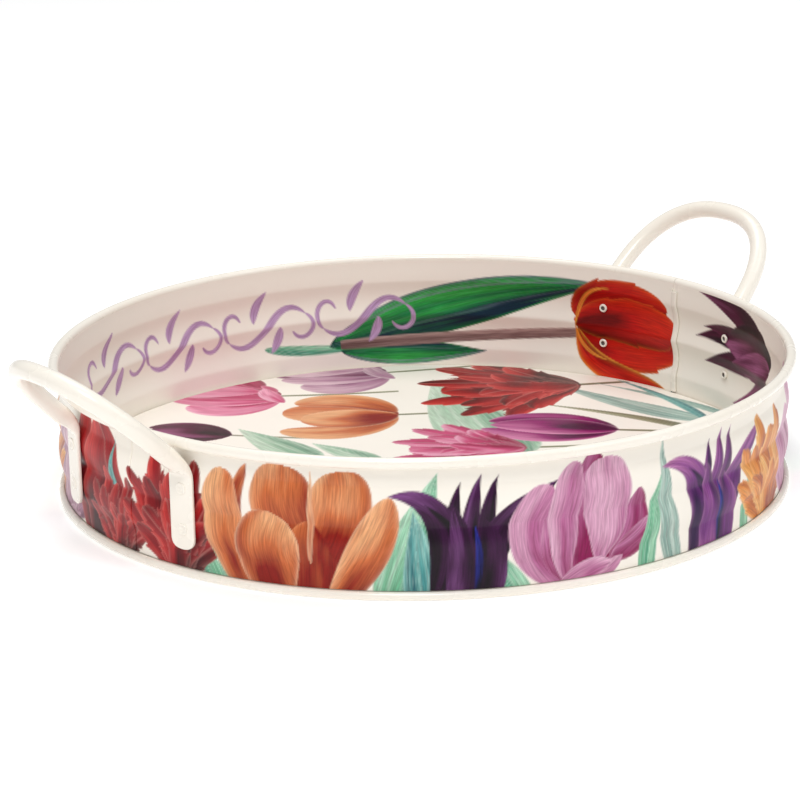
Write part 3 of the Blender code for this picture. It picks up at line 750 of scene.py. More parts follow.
def floor_sprigs() -> list[Sprig]:
    """The floor's flowers: heads with a stalk each, and leaves between them.

    A row is kind, inks, foot to the right and up in millimetres, height in millimetres and turn in
    degrees. The heads point to the left of an onlooker at azimuth 230 degrees, which is a turn of
    about 50 degrees anticlockwise from the +Y axis.

    Returns:
        Stalks, then leaves, then heads, each laid over what comes before it.
    """
    heads = (
        (Bloom.GOBLET, ROSE, 22, 152, 62, 50),
        (Bloom.BUD, WINE, -43, 112, 50, 36),
        (Bloom.GOBLET, MAUVE, 96, 146, 62, 58),
        (Bloom.TULIP, ORANGE, 46, 79, 62, 52),
        (Bloom.PARROT, CRIMSON, 154, 54, 84, 56),
        (Bloom.BUD, MAGENTA, 116, -27, 74, 40),
        (Bloom.PARROT, ROSE, 54, -12, 66, 50),
        (Bloom.TULIP, ROSE, -62, 30, 62, 62),
        (Bloom.GOBLET, PINK, -120, 66, 56, 40),
        (Bloom.LILY, PURPLE, -110, -20, 62, 30),
        (Bloom.TULIP, AMBER, -20, -70, 66, 55),
        (Bloom.PARROT, CRIMSON, -90, -100, 66, 40),
        (Bloom.LILY, PLUM, 60, -90, 62, 48),
        (Bloom.GOBLET, ROSE, 10, -150, 62, 60),
        (Bloom.BUD, RED, 120, -110, 70, 46),
    )
    leaves = (
        (Bloom.LEAF, FERN, -37, 44, 74, 6),
        (Bloom.LEAF, FERN, -14, 20, 50, 16),
        (Bloom.LEAF, FERN, 44, -24, 152, -15),
        (Bloom.BLADE, MIST, 162, -46, 112, 8),
        (Bloom.REED, MIST, 178, -60, 108, 4),
        (Bloom.REED, TEAL, 164, -50, 100, -12),
        (Bloom.REED, OLIVE, 150, -70, 120, 16),
        (Bloom.LEAF, MIST, -130, -40, 90, -20),
        (Bloom.LEAF, SEA, -60, -60, 88, 10),
        (Bloom.LEAF, MIST, 30, -130, 90, 24),
        (Bloom.BLADE, SEA, -140, 0, 70, 0),
        (Bloom.LEAF, TEAL, 90, -140, 80, 16),
        (Bloom.BLADE, MIST, -40, -160, 70, 30),
    )
    stalks = [
        Sprig(Bloom.STEM, OLIVE, x, y, size * STALK_LENGTH, turn + STALK_TURN)
        for _, _, x, y, size, turn in heads
    ]
    return stalks + [Sprig(*row) for row in (*leaves, *heads)]


# --- laying the print -----------------------------------------------------------------------------


# How far from its foot a flower may reach, as a share of its height.
REACH = 1.3
# Cells of the fine streaks and of the material's brush marks, per metre along a shape and across it.
STREAK_CELLS = (60.0, 900.0)
FIBRE_CELLS = (90.0, 1300.0)
# Cells of the broad patches over a whole shape, along it and over its half width.
BROAD_CELLS = (3.0, 2.2)
# How much of the way from deep ink to light ink the streaks and the patches take.
STREAK_DEPTH = 0.14
BROAD_DEPTH = 0.55
# The shares of a shape's length that its three tones stand at.
TONE_STOPS = (0.0, 0.45, 1.0)
# The dark flame: its narrowness across, and its middle and length as shares of the shape's length.
FLAME_NARROW = 1.7
FLAME_MIDDLE = 0.34
FLAME_LENGTH = 0.26
# Width of the ink pooled at an outline and of a rib, in metres, and the stripes' waves in radians.
POOL = 0.0009
RIB = 0.0006
STRIPE_WAVES = 15.0


@dataclass
class Picture:
    """The print of one surface, held at its vertices.

    flat holds each vertex's place on the unrolled surface, in metres to the right and up as the
    surface's onlooker sees it. turnover is the surface's length round, or 0 if it doesn't close.
    """

    flat: np.ndarray
    turnover: float = 0.0
    grain: float = 0.0006
    ground: str = "FBF5EA"

    def __post_init__(self) -> None:
        """Starts with bare enamel, a little uneven."""
        count = len(self.flat)
        cloud = lattice(self.flat * 22.0, 3)[:, None]
        self.colour = ink(self.ground) * (1 - 0.02 * cloud)
        self.cover = np.zeros(count)
        self.fibre = np.column_stack([self.flat * 300.0, np.zeros(count)])

    def near(self, centre: tuple[float, float], reach: float) -> tuple[np.ndarray, np.ndarray]:
        """The vertices within reach of a point, and their places seen from it.

        Args:
            centre: right and up, in metres.
            reach: half the side of the square looked at.

        Returns:
            Vertex numbers and their (right, up) from the centre.
        """
        away = self.flat - centre
        if self.turnover:
            half = self.turnover / 2
            away[:, 0] = (away[:, 0] + half) % self.turnover - half
        found = np.flatnonzero((np.abs(away) < reach).all(axis=1))
        return found, away[found]

    def paint(self, sprig: Sprig, centre: tuple[float, float], seed: int) -> None:
        """Lays a flower's brush shapes one over another.

        Args:
            sprig: the flower.
            centre: where the flower's foot is, right and up, in metres.
            seed: the flower's own seed.
        """
        height = sprig.size * MM
        found, away = self.near(centre, height * REACH)
        if not len(found):
            return
        angle = math.radians(sprig.turn)
        spin = np.array([[math.cos(angle), -math.sin(angle)], [math.sin(angle), math.cos(angle)]])
        local = away @ spin / height
        if sprig.mirror:
            local[:, 0] *= -1
        for number, brush in enumerate(PETALS[sprig.bloom]):
            self.stroke(brush, brush.hues or sprig.hues, found, local, height, seed * 31 + number)

    def stroke(
        self, brush: Brush, hues: Hues, found: np.ndarray, local: np.ndarray, height: float, seed: int
    ) -> None:
        """Lays one brush shape.

        Each vertex takes the nearest point of the middle line, which gives its share t along the
        shape and its distance across. Cover fades over one grid cell at the outline. The colour
        runs from the deep ink to the light one along the shape, darker on one side and in a flame
        up the middle, streaked along the line, and pooled at the edge. A rib of the edge's ink runs
        up the middle of some shapes, and stripes of it along others.

        Args:
            brush: the shape.
            hues: its inks.
            found: numbers of the vertices that may be touched.
            local: their places in the flower's own frame.
            height: the flower's height in metres.
            seed: the shape's own seed.
        """
        line = bezier(brush.spine)
        margin = brush.width + 0.02
        low, high = line.min(axis=0) - margin, line.max(axis=0) + margin
        inside = ((local > low) & (local < high)).all(axis=1)
        if not inside.any():
            return
        here, numbers = local[inside], found[inside]
        ahead = np.gradient(line, axis=0)
        step = np.linalg.norm(ahead, axis=1)
        ahead /= step[:, None]
        gap = ((here[:, None, :] - line[None, :, :]) ** 2).sum(axis=2)
        nearest = gap.argmin(axis=1)
        offset = here - line[nearest]
        along = (offset * ahead[nearest]).sum(axis=1)
        across = offset[:, 0] * ahead[nearest, 1] - offset[:, 1] * ahead[nearest, 0]
        t = (nearest + np.clip(along / step[nearest], -1.5, 1.5)) / (len(line) - 1)
        half = brush.half_width(t, across, seed)
        room = (half - np.abs(across)) * height
        cover = np.clip(room / self.grain + 0.5, 0, 1) * ((t > 0) & (t < 1))
        kept = cover > 0
        if not kept.any():
            return
        t, across, half, room = t[kept], across[kept], half[kept], room[kept]
        cover, numbers = cover[kept], numbers[kept]
        length = step.sum() * height
        share = np.clip(across / np.maximum(half, 1e-6), -1, 1)
        streak_place = np.column_stack([t * length * STREAK_CELLS[0], across * height * STREAK_CELLS[1]])
        streak = lattice(streak_place, seed) - 0.5
        broad = lattice(np.column_stack([t * BROAD_CELLS[0], share * BROAD_CELLS[1] + 9.0]), seed + 1) - 0.5
        tone = np.interp(t, TONE_STOPS, brush.tones) + STREAK_DEPTH * streak + BROAD_DEPTH * broad
        from_middle = (share * FLAME_NARROW) ** 2
        flame = brush.flame * np.exp(-from_middle - ((t - FLAME_MIDDLE) / FLAME_LENGTH) ** 2)
        tone = np.clip(tone - brush.shade * share - flame, 0.0, 1.0)[:, None]
        deep, body, light, rim = (ink(text) for text in (hues.deep, hues.body, hues.light, hues.edge))
        lower, upper = deep + (body - deep) * tone * 2, body + (light - body) * (tone * 2 - 1)
        colour = np.where(tone < 0.5, lower, upper)
        pool = brush.edge * np.exp(-room / POOL)[:, None]
        colour = colour + (rim - colour) * pool
        if brush.rib:
            rib = brush.rib * np.exp(-((across * height / RIB) ** 2))[:, None]
            colour = colour + (rim - colour) * rib
        if brush.stripes:
            wave = 0.5 + 0.5 * np.sin(share * STRIPE_WAVES + 2.0 * streak)
            colour = colour + (rim - colour) * (brush.stripes * wave**3)[:, None]
        cover = cover[:, None]
        self.colour[numbers] = self.colour[numbers] * (1 - cover) + colour * cover
        self.cover[numbers] = np.maximum(self.cover[numbers], cover[:, 0])
        self.fibre[numbers] = np.column_stack(
            [t * length * FIBRE_CELLS[0], across * height * FIBRE_CELLS[1], np.full(len(t), seed * 1.7)]
        )

    def store(self, mesh: bpy.types.Mesh) -> None:
        """Puts the picture into the attributes of a mesh's first vertices. The rest stay bare."""
        total, painted = len(mesh.vertices), len(self.flat)
        colours = np.tile(np.append(ink(self.ground), 0.0), (total, 1))
        fibres = np.zeros((total, 3))
        colours[:painted] = np.column_stack([self.colour, self.cover])
        fibres[:painted] = self.fibre
        layer = mesh.attributes.new("print", "FLOAT_COLOR", "POINT")
        layer.data.foreach_set("color", colours.astype(np.float32).ravel())
        layer = mesh.attributes.new("fibre", "FLOAT_VECTOR", "POINT")
        layer.data.foreach_set("vector", fibres.astype(np.float32).ravel())


# --- the tray's sizes -----------------------------------------------------------------------------


@dataclass(frozen=True)
class TrayForm:
    """The tray's sheet sizes, in metres and degrees, and the lines its sections follow.

    curl and ring are the outer diameters of the rolled rim and of the ring round the foot. gap is the
    air between two solids, and seam_gap the air between the layers of a folded seam. seam_jog is the
    length of the step into a seam, and hook_end how far a hook stops short of the seam's far edge.
    ring_flat is half the angle of the ring's flat underside. disc is the radius of the two discs
    that close the floor's middle.
    """

    sheet: float = 0.0004
    gap: float = 0.0003
    seam_gap: float = 0.00015
    rim_radius: float = 0.195
    rim_height: float = 0.0714
    curl: float = 0.0056
    curl_end: float = -125.0
    wall_inner: float = 0.1888
    beads: tuple[float, float] = (0.0252, 0.0460)
    bead_width: float = 0.0206
    bead_depth: float = 0.0021
    bead_power: float = 1.3
    flare_start: float = 0.0565
    seam_width: float = 0.0030
    seam_jog: float = 0.0012
    hook_end: float = 0.0009
    floor_height: float = 0.0055
    floor_bend: float = 0.0010
    ring: float = 0.0041
    ring_flat: float = 13.0
    disc: float = 0.02
    hook_bottom: float = 0.0061
    hook_top: float = 0.0646

    @property
    def pitch(self) -> float:
        """From one layer of the folded seam to the next."""
        return self.sheet + self.seam_gap

    @property
    def middle(self) -> float:
        """Radius of the wall sheet's middle."""
        return self.wall_inner + self.sheet / 2

    @property
    def curl_centre(self) -> tuple[float, float]:
        """Centre of the rolled rim, as (radius, height)."""
        return self.rim_radius - self.curl / 2, self.rim_height - self.curl / 2

    def wall_radius(self, height: np.ndarray) -> np.ndarray:
        """Radius of the wall sheet's middle at a height.

        The plain wall's radius, plus for each bead its depth times (1 - u squared) to the bead's
        power, where u runs from -1 to 1 across it, plus a smooth flare up to the rolled rim.
        """
        radius = np.full_like(height, self.middle)
        for centre in self.beads:
            u = np.clip((height - centre) / (self.bead_width / 2), -1, 1)
            radius = radius + self.bead_depth * (1 - u * u) ** self.bead_power
        flare = self.curl_centre[0] - (self.curl - self.sheet) / 2 - self.middle
        return radius + flare * ease(self.flare_start, self.curl_centre[1], height)

    def step_depth(self, along: np.ndarray) -> np.ndarray:
        """How far the seam's stepped end lies inwards, at a length along the wall from the seam."""
        return 3 * self.pitch * ease(0.0, 1.0, 1 - (along - self.seam_width) / self.seam_jog)

    def wall_line(self, steps: int) -> np.ndarray:
        """Middle of the wall sheet from the foot to the end of the rolled rim."""
        heights = np.linspace(self.ring, self.curl_centre[1], steps)
        wall = np.column_stack([self.wall_radius(heights), heights])
        rim = arc(self.curl_centre, (self.curl - self.sheet) / 2, 180, self.curl_end, 26)
        return np.vstack([wall, rim[1:]])

    def base_line(self) -> np.ndarray:
        """Middle of the base sheet: floor, bend, leg, and the ring rolled round the wall's foot."""
        leg = self.wall_inner - self.gap - self.sheet / 2
        floor = self.floor_height - self.sheet / 2
        ring_centre = (self.wall_inner - self.gap - self.sheet + self.ring / 2,
                       self.ring / 2 * math.cos(math.radians(self.ring_flat)))
        reach = (self.wall_inner + self.sheet + self.gap - ring_centre[0]) / (self.ring / 2)
        radius = (self.ring - self.sheet) / 2
        return np.vstack([
            np.column_stack([np.linspace(self.disc, leg - self.floor_bend - MM, 8), np.full(8, floor)]),
            arc((leg - self.floor_bend, floor - self.floor_bend), self.floor_bend, 90, 0, 7),
            arc(ring_centre, radius, -180, -90 - self.ring_flat, 8),
            arc(ring_centre, radius, -90 + self.ring_flat, math.degrees(math.acos(reach)), 18),
        ])


FORM = TrayForm()


class Half(Enum):
    """The two wall strips, by the azimuth of their stepped end."""

    BACK = 0.0
    FRONT = 180.0


class Face(Enum):
    """The two printed faces of a wall strip, by the side they lie on."""

    OUTER = 1
    INNER = -1


# --- wall strips ----------------------------------------------------------------------------------


@dataclass
class WallStrip:
    """One half of the wall: beaded sheet with a rolled rim and a folded hook at each end."""

    half: Half
    form: TrayForm = FORM
    columns: int = 300
    rows: int = 90

    def seam_paths(self) -> tuple[np.ndarray, np.ndarray]:
        """The folded ends as (along, inwards) points of the sheet's middle, counted from the seam.

        The stepped end jogs inwards, then turns back in a half circle of one pitch's radius. The
        flush end only turns back. Both close with a short straight run.

        Returns:
            The stepped path and the flush one.
        """
        form = self.form
        pitch = form.pitch
        turn = np.radians(np.linspace(0, 180, 15))
        run = np.linspace(form.seam_width + form.seam_jog, form.seam_width, 7)
        step = np.column_stack([run, form.step_depth(run)])
        back = np.column_stack([pitch - pitch * np.sin(turn), 2 * pitch + pitch * np.cos(turn)])
        stepped = np.vstack([step, back, [(form.seam_width - form.hook_end, pitch)]])
        centre = form.seam_width - pitch
        fold = np.column_stack([centre + pitch * np.sin(turn), pitch - pitch * np.cos(turn)])
        return stepped, np.vstack([fold, [(form.hook_end, 2 * pitch)]])

    def hook(self, shells: Shells, path: np.ndarray, seam: float, line: np.ndarray) -> None:
        """Adds one folded end: the wall's middle line carried along the path's two faces."""
        held = line[(line[:, 1] >= self.form.hook_bottom) & (line[:, 1] <= self.form.hook_top)]
        sections = []
        for near, far in zip(*both_sides(path, self.form.sheet)):
            loop = []
            for (along, depth), wall in ((near, held), (far, held[::-1])):
                azimuth = seam + math.degrees(along / self.form.middle)
                loop.append(ring_points(np.array(azimuth), wall[:, 0] - depth, wall[:, 1]))
            sections.append(np.vstack(loop))
        shells.loft(np.array(sections))

    def build(self) -> bpy.types.Object:
        """Makes the strip.

        Returns:
            The piece, which stands for its CAD node.
        """
        form, turn = self.form, self.half.value
        line = form.wall_line(self.rows)
        outer, inner = both_sides(line, form.sheet)
        start = turn + math.degrees((form.seam_width + form.seam_jog) / form.middle)
        end = turn + 180 + math.degrees((form.seam_width - form.pitch) / form.middle)
        loop = np.vstack([outer, inner[::-1]])
        shells = Shells()
        azimuths = np.linspace(start, end, self.columns)
        shells.loft(ring_points(azimuths[:, None], loop[None, :, 0], loop[None, :, 1]))
        stepped, flush = self.seam_paths()
        self.hook(shells, stepped, turn, line)
        self.hook(shells, flush, turn + 180, line)
        above = line[:, 1] >= line[line[:, 1] <= form.hook_top, 1].max()
        rim = np.vstack([outer[above], inner[above][::-1]])
        for plain, seam, butt in (
            (start, turn, form.seam_width + form.gap / 2),
            (end, turn + 180, form.seam_width - form.gap / 2),
        ):
            pair = np.array([plain, seam + math.degrees(butt / form.middle)])
            shells.loft(ring_points(pair[:, None], rim[None, :, 0], rim[None, :, 1]))
        name = "wall_" + self.half.name.lower()
        made = shells.piece(name + "_sheet")
        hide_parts(name)
        return made


@dataclass
class WallPrint:
    """The printed coat on one face of a wall strip: a thin closed skin, fine on its printed side.

    end_columns is how many finer steps lie at each end. The back has one row in stride of the front's.
    outer_top is the outer coat's highest point, just under the rim. inner_top is how far the inner
    coat stays below the curl's middle, and foot how far both stay above what is under them.
    head_inset and nose_share say how far an outer coat follows the two folds of a seam.
    """

    half: Half
    face: Face
    form: TrayForm = FORM
    columns: int = 870
    end_columns: int = 12
    rows: int = 85
    stride: int = 3
    thickness: float = 0.00006
    outer_top: float = 0.0656
    inner_top: float = 0.0004
    foot: float = 0.0001
    head_inset: float = 0.0003
    nose_share: float = 0.93

    @property
    def nose(self) -> float:
        """Radius of the coat round the flush hook's fold."""
        return self.form.pitch + self.form.sheet / 2 + self.thickness

    def span(self) -> tuple[float, float]:
        """The azimuths that the coat runs between: outside it follows both folds of a seam inwards."""
        form, turn = self.form, self.half.value
        outer = self.face is Face.OUTER
        head = form.seam_width + (self.head_inset if outer else form.seam_jog)
        tail = form.seam_width - form.pitch + self.nose_share * self.nose if outer else 0.0
        return turn + math.degrees(head / form.middle), turn + 180 + math.degrees(tail / form.middle)

    def build(self) -> bpy.types.Object:
        """Makes the coat and lays its print.

        The printed side is a grid of azimuth against height, one coat outside the sheet's face.
        The back is the same wall within the sheet's thickness, in every third row.

        Returns:
            The piece.
        """
        form, side = self.form, self.face.value
        outer = self.face is Face.OUTER
        top = self.outer_top if outer else form.curl_centre[1] - self.inner_top
        foot = (form.ring if outer else form.floor_height) + self.foot
        heights = np.linspace(foot, top, self.rows)
        coarse = heights[:: self.stride]
        start, end = self.span()
        fine = math.degrees(2 * form.seam_jog / form.middle)
        azimuths = np.concatenate([
            np.linspace(start, start + fine, self.end_columns + 1)[:-1],
            np.linspace(start + fine, end - fine, self.columns - 2 * self.end_columns),
            np.linspace(end - fine, end, self.end_columns + 1)[1:],
        ])
        sunk = form.step_depth(np.radians(azimuths - self.half.value) * form.middle)
        along = np.radians(azimuths - self.half.value - 180) * form.middle
        steep = np.sqrt(1 + np.gradient(sunk, along) ** 2)
        past = np.clip(along - form.seam_width + form.pitch, 0, None)
        sunk += self.nose - np.sqrt(self.nose**2 - past**2)
        slope = np.gradient(form.wall_radius(heights), heights)
        proud = (form.sheet / 2 + self.thickness) * steep[:, None] / np.sqrt(1 + slope**2)
        front_r = form.wall_radius(heights) + side * proud - sunk[:, None]
        front = ring_points(azimuths[:, None], front_r, heights - side * slope * proud)
        inside = form.wall_radius(coarse)[::-1] - form.sheet / 4
        back = ring_points(azimuths[:, None], inside - sunk[:, None], coarse[None, ::-1])
        name = f"{self.half.name.lower()}_{self.face.name.lower()}_print"
        shells = Shells()
        shells.loft(np.concatenate([front, back], axis=1))
        made = shells.piece(name)
        right = np.radians(azimuths) * form.wall_inner * side
        flat = np.full((self.columns, self.rows + len(coarse), 2), -1.0)
        flat[:, : self.rows, 0] = right[:, None]
        flat[:, : self.rows, 1] = heights[None, :]
        picture = Picture(flat.reshape(-1, 2), 2 * math.pi * form.wall_inner)
        for number, sprig in enumerate(OUTSIDE if outer else INSIDE):
            centre = (math.radians(sprig.across) * form.wall_inner * side, sprig.up * MM)
            picture.paint(sprig, centre, number + 7 * side)
        picture.store(made.data)
        return made


# --- base -----------------------------------------------------------------------------------------


@dataclass
class BasePan:
    """The floor, its leg and the ring rolled round the wall's foot, in one sheet."""

    form: TrayForm = FORM
    columns: int = 360

    def build(self) -> bpy.types.Object:
        """Makes the pan: its section turned once round, and a disc above and below at the middle.

        Returns:
            The piece, which stands for its CAD node.
        """
        form = self.form
        below, above = both_sides(form.base_line(), form.sheet)
        # The ring's flat underside lies on the ground.
        below[np.argsort(form.base_line()[:, 1])[:2], 1] = 0.0
        azimuths = np.linspace(0, 360, self.columns, endpoint=False)
        loop = np.vstack([above, below[::-1]])
        points = ring_points(azimuths[:, None], loop[None, :, 0], loop[None, :, 1])
        count = len(loop)
        index = np.arange(self.columns * count).reshape(self.columns, count)
        index = np.vstack([index, index[:1]])
        quads = np.stack([index[:-1, :-1], index[:-1, 1:], index[1:, 1:], index[1:, :-1]], axis=-1)
        faces = quads.reshape(-1, 4).tolist()
        faces += [index[:-1, 0].tolist(), index[:-1, -1][::-1].tolist()]
        shells = Shells()
        shells.add(points, faces)
        made = shells.piece("base_pan_sheet")
        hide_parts("base_pan")
        return made


@dataclass
class FloorPrint:
    """Half of the floor's printed coat. Two halves keep each piece's mesh within a sensible size."""

    half: Half
    form: TrayForm = FORM
    cells: int = 440
    thickness: float = 0.00006

    def build(self) -> bpy.types.Object:
        """Makes the coat and lays its print.

        A square grid (u, v) becomes a disc: x is u times the root of (1 - v squared / 2), and y is
        v times the root of (1 - u squared / 2).

        Returns:
            The piece.
        """
        form = self.form
        u, v = np.meshgrid(np.linspace(-1, 1, self.cells + 1), np.linspace(0, 1, self.cells // 2 + 1))
        if self.half is Half.FRONT:
            v = -v
        radius = form.wall_inner - form.gap - form.sheet - form.floor_bend
        x, y = radius * u * np.sqrt(1 - v * v / 2), radius * v * np.sqrt(1 - u * u / 2)
        top = np.stack([x, y, np.full_like(x, form.floor_height + self.thickness)], axis=-1)
        index = np.arange(x.size).reshape(x.shape)
        quads = np.stack([index[:-1, :-1], index[:-1, 1:], index[1:, 1:], index[1:, :-1]], axis=-1)
        border = np.concatenate([index[0, :], index[1:, -1], index[-1, -2::-1], index[-2:0:-1, 0]])
        rim = top.reshape(-1, 3)[border] - [0, 0, 2 * self.thickness]
        low = np.arange(len(border)) + x.size
        walls = np.stack([border, np.roll(border, -1), np.roll(low, -1), low], axis=-1)
        shells = Shells()
        faces = quads.reshape(-1, 4).tolist() + walls.tolist() + [low[::-1].tolist()]
        shells.add(np.vstack([top.reshape(-1, 3), rim]), faces)
        made = shells.piece(f"floor_{self.half.name.lower()}_print")
        picture = Picture(np.column_stack([x.ravel(), y.ravel()]))
        for number, sprig in enumerate(floor_sprigs()):
            picture.paint(sprig, (sprig.across * MM, sprig.up * MM), number + 90)
        picture.store(made.data)
        return made


# --- handles --------------------------------------------------------------------------------------


@dataclass
class Handle:
    """A tube bent to a bow that leans outwards, its two ends pressed flat and laid on the beads.

    slit is the air inside a pressed foot, lean the bow's angle from upright, and clearance its air to
    the rim. squareness is the power of the bow's superellipse. bend_start is where a foot begins to
    bend, above the upper bead's middle, and bend_reach how far the bend's two ends pull. corner is
    the length of a foot's rounded end, a superellipse of end_power that is never narrower than
    end_width of the foot. It is end_thickness as thick as the foot and swells by end_swell.
    """

    side: str
    azimuth: float
    form: TrayForm = FORM
    tube: float = 0.0095
    wall: float = 0.0010
    slit: float = 0.0003
    lean: float = 46.0
    clearance: float = 0.0016
    bow_width: float = 0.0940
    bow_reach: float = 0.0560
    squareness: float = 0.85
    foot_end: float = 0.0149
    bend_start: float = 0.0050
    bend_reach: float = 0.0170
    corner: float = 0.0062
    end_power: float = 2.4
    end_width: float = 0.18
    end_thickness: float = 0.55
    end_swell: float = 3.0
    sides: int = 28

    @property
    def foot_thickness(self) -> float:
        """Thickness of the pressed foot: two walls and the slit between them."""
        return 2 * self.wall + self.slit

    @property
    def foot_width(self) -> float:
        """Width of the pressed foot: half the tube's middle girth and one wall."""
        return math.pi * (self.tube - self.wall) / 2 + self.wall

    @property
    def foot_radius(self) -> float:
        """Radius of the pressed foot's middle."""
        form = self.form
        return form.wall_inner + form.sheet + form.bead_depth + form.gap + self.foot_thickness / 2

    @property
    def spread(self) -> float:
        """How far round each foot is from the handle's middle, in degrees."""
        return math.degrees(math.asin(self.bow_width / 2 / self.foot_radius))

    def path(self) -> tuple[np.ndarray, np.ndarray, np.ndarray]:
        """Half of the tube's middle line, the way its flat side looks, and its flatness.

        The foot rises straight up the wall, a cubic leads out over the rim, and the bow is a
        quarter of a superellipse in the leaning plane.

        Returns:
            Points, facing directions and flatness from 1 (pressed) to 0 (round).
        """
        form = self.form
        foot = math.radians(self.spread)
        radial = np.array([math.cos(foot), math.sin(foot), 0.0])
        up, out = np.array([0.0, 0.0, 1.0]), np.array([1.0, 0.0, 0.0])
        lean = math.radians(self.lean)
        rise = up * math.cos(lean) + out * math.sin(lean)
        plane = out * math.cos(lean) - up * math.sin(lean)
        curl_r, curl_z = form.curl_centre
        needed = (form.curl + self.tube) / 2 + self.clearance
        leg_radius = curl_r + (needed - form.curl * math.sin(lean)) / math.cos(lean)
        start_out = math.sqrt(leg_radius**2 - (self.bow_width / 2) ** 2)
        leg_foot = out * start_out + up * (curl_z - form.curl) + np.array([0.0, self.bow_width / 2, 0.0])
        bend_foot = form.beads[1] + self.bend_start
        heights = np.concatenate([
            self.foot_end + self.corner * (1 - np.cos(np.linspace(0, math.pi / 2, 14))),
            np.linspace(self.foot_end + self.corner, bend_foot, 18)[1:],
        ])
        straight = radial * self.foot_radius + up * heights[:, None]
        t = np.linspace(0, 1, 26)[1:-1, None]
        bent = (
            (radial * self.foot_radius + up * bend_foot) * (2 * t**3 - 3 * t**2 + 1)
            + up * self.bend_reach * (t**3 - 2 * t**2 + t)
            + leg_foot * (3 * t**2 - 2 * t**3)
            + rise * self.bend_reach * (t**3 - t**2)
        )
        turn = np.linspace(0, math.pi / 2, 44)[:, None]
        across = self.bow_width / 2 * np.abs(np.cos(turn)) ** self.squareness
        across[-1] = 0.0
        base = leg_foot - np.array([0.0, self.bow_width / 2, 0.0])
        climb = rise * self.bow_reach * np.sin(turn) ** self.squareness
        bow = base + climb + np.array([0.0, 1.0, 0.0]) * across
        points = np.vstack([straight, bent, bow])
        share = np.concatenate([np.zeros(len(straight)), t[:, 0], np.ones(len(bow))])[:, None]
        facing = radial * (1 - share) + plane * share
        flat = 1 - ease(bend_foot, curl_z - form.curl, points[:, 2])
        flat[-len(bow):] = 0.0
        return points, facing, flat

    def build(self) -> bpy.types.Object:
        """Makes the handle.

        The section at each station is a superellipse: cosine and sine each raised to 2 / n, with n
        from 2 where the tube is round to 6 where it is pressed flat, and half axes that blend from
        the tube's radius to the foot's half width and half thickness. The foot's end narrows as a
        superellipse of its own.

        Returns:
            The piece, which stands for its CAD node.
        """
        points, facing, flat = self.path()
        mirror = np.array([1.0, -1.0, 1.0])
        points = np.vstack([points, points[-2::-1] * mirror])
        facing = np.vstack([facing, facing[-2::-1] * mirror])
        flat = np.concatenate([flat, flat[-2::-1]])
        ahead = np.gradient(points, axis=0)
        ahead /= np.linalg.norm(ahead, axis=1)[:, None]
        across = np.cross(ahead, facing)
        across /= np.linalg.norm(across, axis=1)[:, None]
        outward = np.cross(across, ahead)
        from_end = np.clip((points[:, 2] - self.foot_end) / self.corner, 0, 1)
        pressed = flat > 0.999
        taper = np.clip(1 - (1 - from_end) ** self.end_power, 0.0, 1) ** (1 / self.end_power)
        taper = np.where(pressed, np.maximum(taper, self.end_width), 1.0)
        soft = np.where(pressed, np.clip(self.end_thickness + self.end_swell * from_end, 0, 1), 1.0)
        wide = (self.foot_width / 2 * flat + self.tube / 2 * (1 - flat)) * taper
        thick = (self.foot_thickness / 2 * flat + self.tube / 2 * (1 - flat)) * soft
        power = 2 / (2 + 4 * flat)
        angle = np.linspace(0, 2 * math.pi, self.sides, endpoint=False)
        level, steep = np.cos(angle)[None, :], np.sin(angle)[None, :]
        x = wide[:, None] * np.sign(level) * np.abs(level) ** power[:, None]
        y = thick[:, None] * np.sign(steep) * np.abs(steep) ** power[:, None]
        sections = points[:, None, :] + across[:, None, :] * x[..., None]
        sections = sections + outward[:, None, :] * y[..., None]
        turn = math.radians(self.azimuth)
        cosine, sine = math.cos(turn), math.sin(turn)
        spin = np.array([[cosine, sine, 0], [-sine, cosine, 0], [0, 0, 1]])
        shells = Shells()
        shells.loft(sections @ spin)
        made = shells.piece(f"{self.side}_handle_tube", 60.0)
        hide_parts(f"handle_{self.side}")
        return made


# --- rivets ---------------------------------------------------------------------------------------


